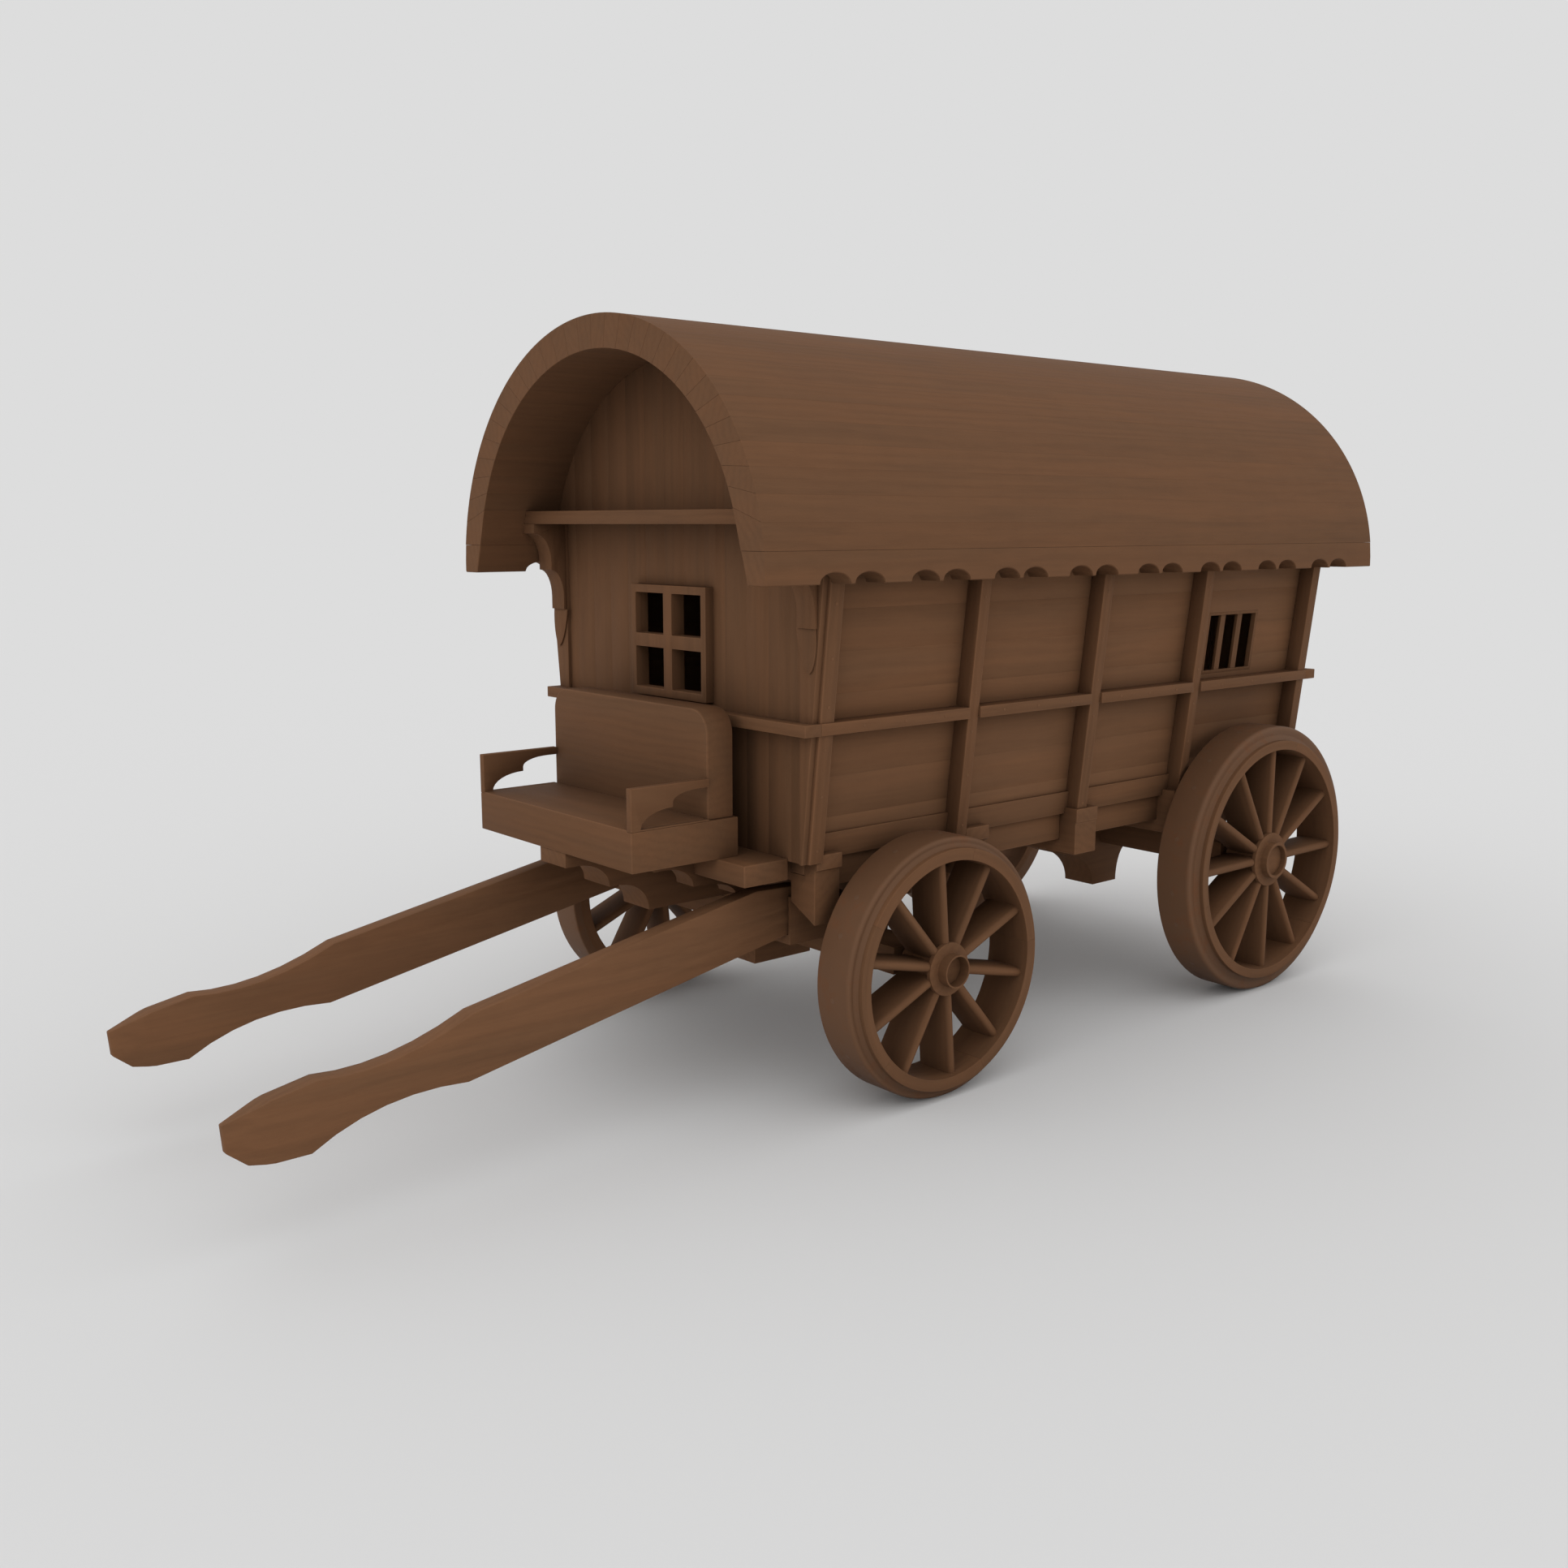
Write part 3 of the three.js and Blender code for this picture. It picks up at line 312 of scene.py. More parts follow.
board_brown = (0.141, 0.0695, 0.0345, 1.0)
board_wood = wood("board_wood", board_brown, 0.11, 0.78, 0.0006)
# Painted light: the side walls' boards take the board colour made 18 % lighter, to cancel the shade that
# falls on them.
lightened_side_board = wood("lightened_side_board", at_brightness(board_brown, 1.18), 0.11, 0.78, 0.0006)
worn_board = wood("worn_board_edge", at_brightness(board_brown, 1.15), 0.14, 0.70, 0.0005)

chance = random.Random(1907)  # draws the same numbers every run


def clean_copy(node):
    """A CAD node's shape as a bmesh, its loose triangles merged and its flat faces whole again."""
    shape = bmesh.new()
    shape.from_mesh(nodes[node].data)
    bmesh.ops.remove_doubles(shape, verts=shape.verts, dist=0.00004)
    flat = math.radians(0.8)
    bmesh.ops.dissolve_limit(shape, angle_limit=flat, verts=shape.verts, edges=shape.edges)
    return shape


def ease_edges(shape, ease, sharp_from=0.5):
    """Takes off every edge sharper than an angle in radians. The cut faces take the second finish."""
    arrises = [e for e in shape.edges if e.is_manifold and e.calc_face_angle(0.0) > sharp_from]
    bmesh.ops.bevel(
        shape,
        geom=arrises,
        offset=ease,
        offset_type="OFFSET",
        segments=2,
        profile=0.5,
        affect="EDGES",
        clamp_overlap=True,
        material=1,
    )


def cut_to(shape, axis, low, high):
    """The slice of a closed shape between two planes, closed again."""
    piece = shape.copy()
    for where, way in ((low, -1.0), (high, 1.0)):
        point = Vector((0.0, 0.0, 0.0))
        point[axis] = where
        facing = Vector((0.0, 0.0, 0.0))
        facing[axis] = way
        bmesh.ops.bisect_plane(
            piece,
            geom=piece.verts[:] + piece.edges[:] + piece.faces[:],
            dist=1e-6,
            plane_co=point,
            plane_no=facing,
            clear_outer=True,
        )
        bmesh.ops.holes_fill(piece, edges=[e for e in piece.edges if e.is_boundary], sides=0)
    bmesh.ops.recalc_face_normals(piece, faces=piece.faces)
    return piece


clearance = 0.0001  # how far a cut keeps from a shape's own faces


def into_boards(shape, axis, width, ease):
    """Splits a closed shape into boards of about the given width, each with its own eased edges."""
    low = min(v.co[axis] for v in shape.verts)
    high = max(v.co[axis] for v in shape.verts)
    count = round((high - low) / width)
    marks = [low + (high - low) * i / count for i in range(count + 1)]
    marks[0] -= clearance
    marks[-1] += clearance
    boards = [cut_to(shape, axis, start, end) for start, end in zip(marks[:-1], marks[1:])]
    for board in boards:
        ease_edges(board, ease)
    return boards


def assemble(name, parts, finishes, smooth_below=25.0):
    """Joins closed shapes into one mesh. Each comes with the way its grain runs, or None to keep its own."""
    vertices, faces, surfaces, grains, tones = [], [], [], [], []
    for shape, way in parts:
        first = len(vertices)
        shape.verts.index_update()
        places = np.array([v.co for v in shape.verts], float).reshape(-1, 3)
        vertices.extend(map(tuple, places))
        for face in shape.faces:
            faces.append([first + v.index for v in face.verts])
            surfaces.append(min(face.material_index, len(finishes) - 1))
        if way is None:
            layer = shape.verts.layers.float_vector.get("grain")
            grains.append(np.array([v[layer] for v in shape.verts], float).reshape(-1, 3))
        else:
            along = Vector(way).normalized()
            side = along.orthogonal().normalized()
            turn = np.array([along, side, along.cross(side)])
            grains.append(places @ turn.T + [chance.uniform(0, log_size) for _ in range(3)])
        tones.append(np.full(len(places), chance.uniform(-1, 1)))
        shape.free()
    mesh = bpy.data.meshes.new(name)
    mesh.from_pydata(vertices, [], faces)
    for finish in finishes:
        mesh.materials.append(finish)
    mesh.polygons.foreach_set("material_index", surfaces)
    mesh.polygons.foreach_set("use_smooth", [True] * len(faces))
    grain_here = mesh.attributes.new("grain", "FLOAT_VECTOR", "POINT")
    grain_here.data.foreach_set("vector", np.concatenate(grains).astype(np.float32).ravel())
    tone_here = mesh.attributes.new("tone", "FLOAT", "POINT")
    tone_here.data.foreach_set("value", np.concatenate(tones).astype(np.float32))
    mesh.set_sharp_from_angle(angle=math.radians(smooth_below))
    mesh.update()
    return link(name, mesh)


def fit(made, node):
    """Puts a finished piece in place of a CAD node, on the same body."""
    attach(made, nodes[node]["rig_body"])
    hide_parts(node)


along_x, along_y, along_z = (1.0, 0.0, 0.0), (0.0, 1.0, 0.0), (0.0, 0.0, 1.0)
both_sides = (("left", 1.0), ("right", -1.0))

wall_ease = 0.0004
wall_rows = (
    # node, axis that the joints step along, board width, grain, finish
    ("left_side_wall", 2, 0.159, along_y, lightened_side_board),
    ("right_side_wall", 2, 0.159, along_y, lightened_side_board),
    ("front_wall", 0, 0.132, along_z, board_wood),
    ("rear_wall", 0, 0.132, along_z, board_wood),
    ("floor", 0, 0.180, along_y, board_wood),
)
for node, axis, width, way, finish in wall_rows:
    shape = clean_copy(node)
    boards = into_boards(shape, axis, width, wall_ease)
    shape.free()
    walling = assemble(node + "_boards", [(board, way) for board in boards], [finish, worn_board])
    fit(walling, node)

# ---------------------------------------------------------------- roof
# A deep round-topped shell of narrow boards laid from end to end, sprung from a thick board along each eave
# whose lower edge is cut in pairs of scallops.
roof_low, roof_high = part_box("roof_shell")
eaves = roof_low.z
roof_front, roof_back = roof_low.y, roof_high.y
half_span = roof_high.x
rise = roof_high.z - eaves
crown_depth, haunch_depth, eaves_depth = 0.128, 0.137, 0.101
flare_top = 0.190  # the inner face is straight from the eaves up to here
eaves_board_top = 0.118
roof_board = 0.098
joint_width = 0.00025
end_chamfer = 0.0012


def outer_point(angle):
    return Vector((half_span * math.cos(angle), 0.0, eaves + rise * math.sin(angle)))


def vault_point(angle):
    across = (half_span - haunch_depth) * math.cos(angle)
    up = (rise - crown_depth) * math.sin(angle)
    return Vector((across, 0.0, eaves + up))


def outer_across(height):
    """Half the width of the roof at a height above the eaves."""
    return half_span * math.sqrt(1.0 - (height / rise) ** 2)


def inner_across(height):
    """Half the width of the vault inside it at a height above the eaves."""
    share = max(height, flare_top) / (rise - crown_depth)
    at_flare = (half_span - haunch_depth) * math.sqrt(max(0.0, 1.0 - share * share))
    if height >= flare_top:
        return at_flare
    at_eaves = half_span - eaves_depth
    return at_eaves + (at_flare - at_eaves) * height / flare_top


def loft(sections, closed=False):
    """A closed solid through rings of points, capped at both ends or joined round to its start."""
    solid = bmesh.new()
    rings = [[solid.verts.new(p) for p in ring] for ring in sections]
    following = rings[1:] + rings[:1] if closed else rings[1:]
    for before, after in zip(rings, following):
        for i in range(len(before)):
            j = (i + 1) % len(before)
            solid.faces.new((before[i], before[j], after[j], after[i]))
    if not closed:
        solid.faces.new(rings[0])
        solid.faces.new(rings[-1][::-1])
    bmesh.ops.recalc_face_normals(solid, faces=solid.faces)
    return solid


def nick_corners(ring, corners, nick):
    """A ring of points with the given corners cut off."""
    points = []
    for index, point in enumerate(ring):
        before, after = ring[index - 1], ring[(index + 1) % len(ring)]
        if index in corners:
            points.append(point + (before - point).normalized() * nick)
            points.append(point + (after - point).normalized() * nick)
        else:
            points.append(point)
    return points


def roof_boarding():
    """Boards over the arch from one eaves board to the other, with chamfered edges and ends."""
    steps = 400
    start = math.asin(eaves_board_top / rise)
    angles = [start + (math.pi - 2 * start) * i / steps for i in range(steps + 1)]
    run = [0.0]
    for a, b in zip(angles[:-1], angles[1:]):
        run.append(run[-1] + (outer_point(b) - outer_point(a)).length)
    count = round(run[-1] / roof_board)
    marks = [float(np.interp(run[-1] * i / count, run, angles)) for i in range(count + 1)]
    inner_start = math.asin(flare_top / (rise - crown_depth))
    inner_marks = [inner_start + (math.pi - 2 * inner_start) * i / count for i in range(count + 1)]
    shares = (0.0, 0.34, 0.67, 1.0)
    board_corners = (0, 3, 4, 7)
    foot = Vector((inner_across(eaves_board_top), 0.0, eaves + eaves_board_top))
    boards = []
    for a, b, c, d in zip(marks[:-1], marks[1:], inner_marks[:-1], inner_marks[1:]):
        outer = [outer_point(a + (b - a) * t) for t in shares]
        inner = [vault_point(c + (d - c) * t) for t in shares[::-1]]
        if a == marks[0]:
            inner[-1] = foot
        if b == marks[-1]:
            inner[0] = Vector((-foot.x, 0.0, foot.z))
        ring = outer + inner
        middle = sum(ring, Vector()) / len(ring)
        nicked = nick_corners(ring, board_corners, joint_width)
        pulled = [p + (middle - p).normalized() * end_chamfer for p in nicked]
        places = (
            (roof_front, pulled),
            (roof_front + end_chamfer, nicked),
            (roof_back - end_chamfer, nicked),
            (roof_back, pulled),
        )
        boards.append(loft([[Vector((p.x, y, p.z)) for p in outline] for y, outline in places]))
    return boards


scallop_half, scallop_depth, scallop_steps = 0.0735, 0.042, 18
first_pair, pair_pitch, pair_spacing = 0.023, 0.446, 0.166
eave_chamfer, eave_soft, eave_gap = 0.003, 0.0035, 0.0008
pair_count = int((roof_back - front_face - pair_spacing - first_pair) / pair_pitch) + 1


def eaves_edge():
    """Stations along the eaves with the height of the scalloped edge at each."""
    edge = [(roof_front, 0.0), (roof_front + eave_chamfer, 0.0)]
    for pair in range(pair_count):
        for side in (-0.5, 0.5):
            centre = front_face + first_pair + pair * pair_pitch + side * pair_spacing
            for i in range(scallop_steps + 1):
                turn = math.pi * i / scallop_steps
                edge.append((centre - scallop_half * math.cos(turn), scallop_depth * math.sin(turn)))
    edge += [(roof_back - eave_chamfer, 0.0), (roof_back, 0.0)]
    return edge


def eaves_board(side):
    """The thick board along one eave, drawn in slices that follow the scallops."""
    sections = []
    edge = eaves_edge()
    top = eaves_board_top - eave_gap
    for index, (y, up) in enumerate(edge):
        at_end = index in (0, len(edge) - 1)
        draw = eave_chamfer if at_end else 0.0
        low = up + draw
        heights = (low + eave_soft, low + 0.4 * (top - low), top)
        outline = [(outer_across(height) - draw, height) for height in heights]
        outline += [(inner_across(height) + draw, height) for height in heights[::-1]]
        outline.append((inner_across(low) + draw + eave_soft, low))
        outline.append((outer_across(low) - draw - eave_soft, low))
        sections.append([Vector((side * x, y, eaves + z)) for x, z in outline])
    return loft(sections)


boarding = [(board, along_y) for board in roof_boarding()]
boarding += [(eaves_board(side), along_y) for side in (1.0, -1.0)]
fit(assemble("roof_boarding", boarding, [board_wood]), "roof_shell")

# ---------------------------------------------------------------- window frames and bars
# The square front window is one heavy frame with a cross, and each side window a plain lining with two
# upright bars. Both are hardwood, mortised together and left unglazed.
frame_brown = (0.143, 0.0700, 0.0345, 1.0)
frame_wood = wood("frame_wood", frame_brown, 0.15, 0.76, 0.0008)
worn_frame = wood("worn_frame_edge", at_brightness(frame_brown, 1.15), 0.15, 0.68, 0.0006)
timber_finishes = [frame_wood, worn_frame]


def dress(node, ending, way, ease, finishes, sharp_from=0.5):
    """Finishes one node in its own shape, with its arrises eased and its grain running one way."""
    shape = clean_copy(node)
    ease_edges(shape, ease, sharp_from)
    fit(assemble(node + ending, [(shape, way)], finishes), node)


window_rows = (
    # node, direction of the grain, easing of the arrises
    ("front_window_frame", along_z, 0.0030),
    ("left_barred_window", along_z, 0.0012),
    ("right_barred_window", along_z, 0.0012),
)
for node, way, ease in window_rows:
    dress(node, "_joinery", way, ease, timber_finishes)

# ---------------------------------------------------------------- ribs, rails and corner posts of the sides
# Each side is framed outside its boards in hardwood: five standing ribs that lean out with the wall, a flat
# bottom rail, a belt rail at mid height, and a heavy post at each corner.
lean = 0.108
rib_face_at_mid, mid_height = 0.880, 1.500
rib_depth = 0.076
body_bottom, wall_top = 0.980, 2.095
front_post_top, rear_post_top = 2.2427, 2.2967
rail_top, rail_proud = 1.080, 0.018
belt_low, belt_high, belt_face = 1.476, 1.522, 0.890
post_inner, post_inset = 0.7943, 0.015
seam = 0.0003  # between a piece and the one that it lies on
butt_gap = 0.0002  # between timbers that meet end to end
rib_ease, timber_ease = 0.005, 0.003
bend_heights = (2.035, 2.045, 2.055, 2.065, 2.075, 2.085, 2.225, 2.260)  # where faces bend under the vault


def rib_face(height):
    return rib_face_at_mid + lean * (height - mid_height)


def wall_face(height):
    return rib_face(height) - rib_depth


def prism(outline, axis, low, high, ease):
    """A closed outline of two coordinates carried along the third axis, with eased edges."""
    sections = []
    for along in (low, high):
        ring = [list(point) for point in outline]
        for point in ring:
            point.insert(axis, along)
        sections.append([Vector(point) for point in ring])
    solid = loft(sections)
    ease_edges(solid, ease)
    return solid


def mirror_x(shape):
    """Turns a shape made for the left side into the one for the right."""
    for vertex in shape.verts:
        vertex.co.x = -vertex.co.x
    bmesh.ops.reverse_faces(shape, faces=shape.faces)
    return shape


def outside_line(inset, low, high):
    """Points up the leaning outer face of a timber, turned in where it meets the vault."""
    heights = [low] + [height for height in bend_heights if low < height < high] + [high]
    line = []
    for height in heights:
        vault = inner_across(max(height, eaves) - eaves)
        line.append((min(rib_face(height) - inset, vault - seam), height))
    return line


def leaning_timber(outer_inset, inner_inset, low, high, front, back, ease):
    """A timber whose two faces lean with the ribs, set in from the ribs' outer face by two amounts."""
    inside = [(rib_face(low) - inner_inset, low), (rib_face(high) - inner_inset, high)]
    return prism([inside[0]] + outside_line(outer_inset, low, high) + [inside[1]], 1, front, back, ease)


rib_rows = (
    # front and back from the front wall, and whether the belt stops against it
    (0.010, 0.080, False),
    (0.804, 0.862, True),
    (1.569, 1.633, True),
    (2.304, 2.362, True),
    (3.190, 3.250, False),
)
post_rows = (
    # front and back from the front wall, and the top
    (-0.015, 0.025, front_post_top),
    (3.235, 3.275, rear_post_top),
)
lean_up = (lean, 0.0, 1.0)


def side_frame():
    """The timbers outside the left wall, each with the way its grain runs."""
    inner = rib_depth - seam
    timbers = []
    for front, back, _ in rib_rows:
        start, end = front_face + front, front_face + back
        rib = leaning_timber(0.0, inner, body_bottom, wall_top, start, end, rib_ease)
        timbers.append((rib, lean_up))
    stops = [(front, back) for front, back, stops_belt in rib_rows if stops_belt]
    starts = [rib_rows[0][0]] + [back + butt_gap for _, back in stops]
    ends = [front - butt_gap for front, _ in stops] + [rib_rows[-1][1]]
    belt_outline = [
        (wall_face(belt_low) + seam, belt_low),
        (belt_face, belt_low),
        (belt_face, belt_high),
        (wall_face(belt_high) + seam, belt_high),
    ]
    for start, end in zip(starts, ends):
        belt = prism(belt_outline, 1, front_face + start, front_face + end, timber_ease)
        timbers.append((belt, along_y))
    spans = [(a[1] + butt_gap, b[0] - butt_gap) for a, b in zip(rib_rows[:-1], rib_rows[1:])]
    outer = rib_depth - rail_proud
    for front, back in spans:
        start, end = front_face + front, front_face + back
        rail = leaning_timber(outer, inner, body_bottom, rail_top, start, end, timber_ease)
        timbers.append((rail, along_y))
    for start, end, top in post_rows:
        outside = outside_line(post_inset, body_bottom, top)
        outline = [(post_inner, body_bottom)] + outside + [(post_inner, top)]
        post = prism(outline, 1, front_face + start, front_face + end, timber_ease)
        timbers.append((post, along_z))
    return timbers


for side in ("left", "right"):
    timbers = side_frame()
    if side == "right":
        timbers = [(mirror_x(shape), (-way[0], way[1], way[2])) for shape, way in timbers]
    fit(assemble(side + "_side_timbers", timbers, timber_finishes), side + "_side_frame")

# ---------------------------------------------------------------- plain timbers
# Everything else that was sawn, planed and cut to a template: wall plates, end belts, shelf, porch, brackets,
# sills, bearers, transom, bolsters, axle beds, hounds and step. Hardwood with eased arrises.
timber_rows = (
    # direction of the grain, easing of the arrises, nodes
    (along_y, 0.0030, ("left_wall_plate", "right_wall_plate")),
    (along_x, 0.0030, ("front_belt", "left_rear_belt", "right_rear_belt")),
    (along_x, 0.0035, ("shelf_beam",)),
    (along_x, 0.0045, ("porch_floor",)),
    (along_y, 0.0040, ("seat_bracket",)),
    (along_y, 0.0035, ("left_porch_bracket", "right_porch_bracket")),
    (along_y, 0.0045, ("left_sill", "right_sill")),
    (along_x, 0.0040, ("front_bearer", "fore_bearer", "middle_bearer", "aft_bearer", "rear_bearer")),
    (along_x, 0.0050, ("front_transom", "rear_axle_bed", "rear_bolster")),
    (along_y, 0.0040, ("rear_axle_bracket",)),
    (along_x, 0.0050, ("front_axle_bed", "front_bolster")),
    (along_y, 0.0040, ("front_axle_bracket",)),
    (along_y, 0.0025, ("left_hound", "right_hound")),
    (along_x, 0.0030, ("rear_step",)),
)
for way, ease, timbers in timber_rows:
    for node in timbers:
        dress(node, "_timber", way, ease, timber_finishes)

# ---------------------------------------------------------------- shelf brackets
# Sawn with two coves under the shelf and glued to the corner posts. Below the coves a thin separate drop lies
# on each post, square at its head, with a long taper and a rounded tip.
bracket_foot, above_bracket = 1.870, 2.300
drop_head, drop_length, drop_width = bracket_foot - butt_gap, 0.165, 0.107
drop_middle, drop_lean = 0.8365, 0.0181
drop_front, drop_back = -0.7200, -0.7125
drop_taper, drop_roundness = 1.8, 0.6


def drop_outline():
    """Down the inner edge and up the outer: a slow taper that rounds off at the tip, leaning outwards."""
    inner, outer = [], []
    steps = 10
    for i in range(steps):
        down = math.sin(0.5 * math.pi * i / steps)
        half = 0.5 * drop_width * (1.0 - down**drop_taper) ** drop_roundness
        middle, height = drop_middle + drop_lean * down, drop_head - drop_length * down
        inner.append((middle - half, height))
        outer.append((middle + half, height))
    tip = (drop_middle + drop_lean, drop_head - drop_length)
    return inner + [tip] + outer[::-1]


for side in ("left", "right"):
    node = side + "_shelf_bracket"
    coves = cut_to(clean_copy(node), 2, bracket_foot, above_bracket)
    ease_edges(coves, 0.0030)
    drop = prism(drop_outline(), 1, drop_front, drop_back, 0.0015)
    if side == "right":
        mirror_x(drop)
    parts = [(coves, along_z), (drop, along_z)]
    fit(assemble(node + "_carving", parts, timber_finishes), node)

# ---------------------------------------------------------------- driver's seat
# A closed softwood box, with a thick backrest rounded at its top corners and two thin arm boards sawn with
# coves, all let into the top of the box.
seat_rows = (
    # node, direction of the grain, easing of the arrises
    ("seat_box", along_x, 0.0035),
    ("seat_back", along_x, 0.0060),
    ("left_seat_arm", along_y, 0.0025),
    ("right_seat_arm", along_y, 0.0025),
)
for node, way, ease in seat_rows:
    dress(node, "_joinery", way, ease, [board_wood, worn_board])

# ---------------------------------------------------------------- shafts
# Two long ash shafts, hung on pins between the cheeks of the hounds, flat-sided with broad chamfers along
# their edges and a wide paddle end where the harness is made fast.
# Painted light: the shafts take the frame colour made 13 % lighter, to cancel the shade that falls on them.
lightened_shaft_wood = wood("lightened_shaft_wood", at_brightness(frame_brown, 1.13), 0.15, 0.76, 0.0008)
shaft_chamfer = 0.011
for node in ("left_shaft", "right_shaft"):
    dress(node, "_timber", along_y, shaft_chamfer, [lightened_shaft_wood, worn_frame])

# ---------------------------------------------------------------- wheels
# Built in ash by a wheelwright: a turned hub with a collar and a capped nose, flat blade spokes driven into
# it, and felloes that meet in hairline joints and stand out past the tyre.
wheel_back, tyre_front, ring_front = 0.856, 1.036, 1.066
hub_back, collar_back, collar_front = 0.846, 1.020, 1.046
bore, hub_back_radius = 0.0308, 0.070
spoke_centre, spoke_depth, spoke_thickness, spoke_nose = 0.953, 0.178, 0.044, 0.0185
hub_tenon, rim_tenon = 0.010, 0.006
half_joint = 0.0003
hub_sides, cap_sides, tyre_sides, felloe_steps = 96, 64, 160, 26
wheel_rows = (
    {
        "axle": "front", "station": 0.545, "radius": 0.525, "tyre": 0.040, "rim": 0.088,
        "spokes": 10, "first": -13.0, "barrel": 0.092, "collar": 0.107,
        "nose": 0.067, "nose_face": 1.093, "recess": 0.060, "recess_floor": 1.043,
    },
    {
        "axle": "rear", "station": 2.770, "radius": 0.645, "tyre": 0.065, "rim": 0.109,
        "spokes": 12, "first": 0.0, "barrel": 0.112, "collar": 0.130,
        "nose": 0.088, "nose_face": 1.082, "recess": 0.073, "recess_floor": 1.053,
    },
)


def rounded(profile, corners):
    """A closed profile with an arc in place of each corner that's given a radius."""
    points = []
    for index, (here, radius) in enumerate(zip(profile, corners)):
        here = Vector(here)
        if not radius:
            points.append(here)
            continue
        to_before = (Vector(profile[index - 1]) - here).normalized()
        to_after = (Vector(profile[(index + 1) % len(profile)]) - here).normalized()
        half = to_before.angle(to_after) / 2
        reach = radius / math.tan(half)
        start, finish = here + to_before * reach, here + to_after * reach
        steps = max(2, round(math.degrees(math.pi - 2 * half) / 18))
        for i in range(steps + 1):
            t = i / steps
            points.append(start * (1 - t) ** 2 + here * (2 * t * (1 - t)) + finish * t**2)
    return points


def turns_of(count):
    """Equal steps once round a circle."""
    return [2 * math.pi * i / count for i in range(count)]


def round_axle(centre, radius, turn, x):
    """A point on a circle round an axle that is centred on a station and a height."""
    station, height = centre
    return Vector((x, station + radius * math.cos(turn), height + radius * math.sin(turn)))


def swept(profile, centre, start, end, steps, closed):
    """A profile of (radius, x) points carried round an axle, with its grain running round the ring."""
    station, height = centre
    turns = [start + (end - start) * i / steps for i in range(steps if closed else steps + 1)]
    solid = loft([[round_axle(centre, radius, turn, x) for radius, x in profile] for turn in turns], closed)
    grain = solid.verts.layers.float_vector.new("grain")
    shift = Vector([chance.uniform(0, log_size) for _ in range(3)])
    mean = sum(radius for radius, _ in profile) / len(profile)
    for vertex in solid.verts:
        from_centre = Vector((vertex.co.y - station, vertex.co.z - height))
        turn = math.atan2(from_centre.y, from_centre.x)
        turn = start + (turn - start) % (2 * math.pi)
        vertex[grain] = Vector((turn * mean, from_centre.length, vertex.co.x)) + shift
    return solid


def turned_hub(row, centre):
    """A hub in one piece, turned between centres, with its grain along the axle."""
    profile = [
        (bore, hub_back), (hub_back_radius, hub_back), (row["barrel"], hub_back + 0.024),
        (row["barrel"], collar_back), (row["collar"], collar_back + 0.006), (row["collar"], collar_front),
        (row["nose"], collar_front), (row["nose"], row["nose_face"]), (row["recess"], row["nose_face"]),
        (row["recess"], row["recess_floor"]), (bore, row["recess_floor"]),
    ]
    outline = rounded(profile, [0, 0.006, 0.012, 0, 0.003, 0.003, 0.003, 0.0020, 0.0020, 0.001, 0])
    turns = turns_of(hub_sides)
    return loft([[round_axle(centre, radius, turn, x) for radius, x in outline] for turn in turns], True)


def hub_cap(row, centre):
    """A turned wooden disc pressed into the nose over the end of the axle arm."""
    recess, floor = row["recess"], row["recess_floor"]
    outline = [
        (recess - 0.0004, floor + 0.0002),
        (recess - 0.0016, floor + 0.0042),
        (0.4 * recess, floor + 0.0034),
    ]
    turns = turns_of(cap_sides)
    return loft([[round_axle(centre, radius, turn, x) for turn in turns] for radius, x in outline])


def blade_spoke(row):
    """One spoke, upright over the hub's centre: a flat blade, fuller in the middle and round at the edges."""
    start = row["barrel"] - hub_tenon
    end = row["radius"] - row["rim"] + rim_tenon
    flat = spoke_depth / 2 - spoke_nose
    half = spoke_thickness / 2
    shoulder, fall = 0.45 * flat, 0.0007  # where the blade starts to thin, and how much it has by then
    section = []
    for side in (1, -1):
        for i in range(9):
            turn = math.radians(-80 + 20 * i)
            section.append((side * (flat + spoke_nose * math.cos(turn)), side * spoke_nose * math.sin(turn)))
        section.append((side * shoulder, side * (half - fall)))
        section.append((0.0, side * half))
        section.append((-side * shoulder, side * (half - fall)))
    sections = []
    foot = 0.10  # share of the spoke's length over which it swells towards the hub
    for share in (0.0, 0.03, 0.06, foot, 0.35, 0.65, 0.90, 1.0):
        fuller = 1.0 + 0.20 * max(0.0, 1.0 - share / foot) ** 2
        height = start + (end - start) * share
        sections.append([Vector((spoke_centre + a, b * fuller, height)) for a, b in section])
    return loft(sections)


def felloes_of(row):
    """How many felloes a wheel has, the turn that each one takes, and where the first begins."""
    count = row["spokes"] // 2
    step = 2 * math.pi / count
    return count, step, math.radians(row["first"]) + step / 4


# A group that puts a copy of the pattern at every place, each with its grain from another part of the log.
setting_out = Tree(bpy.data.node_groups.new("setting_out", "GeometryNodeTree"))
terminals = setting_out.tree.interface
wanted = {"Places": "Geometry", "Pattern": "Object", "Finish": "Material", "Seed": "Int"}
inlet = {
    name: terminals.new_socket(name, in_out="INPUT", socket_type="NodeSocket" + kind).identifier
    for name, kind in wanted.items()
}
terminals.new_socket("Copies", in_out="OUTPUT", socket_type="NodeSocketGeometry")
given = setting_out.node("NodeGroupInput").outputs
vector_kind = {"data_type": "FLOAT_VECTOR"}


def stored(name):
    """The value that the points carry under a name."""
    return setting_out.node("GeometryNodeInputNamedAttribute", vector_kind, {"Name": name}).outputs[0]


def store(name, geometry, value):
    """The geometry, with a value put on its points under a name."""
    settings = {**vector_kind, "domain": "POINT"}
    sockets = {"Geometry": geometry, "Name": name, "Value": value}
    return setting_out.node("GeometryNodeStoreNamedAttribute", settings, sockets).outputs[0]


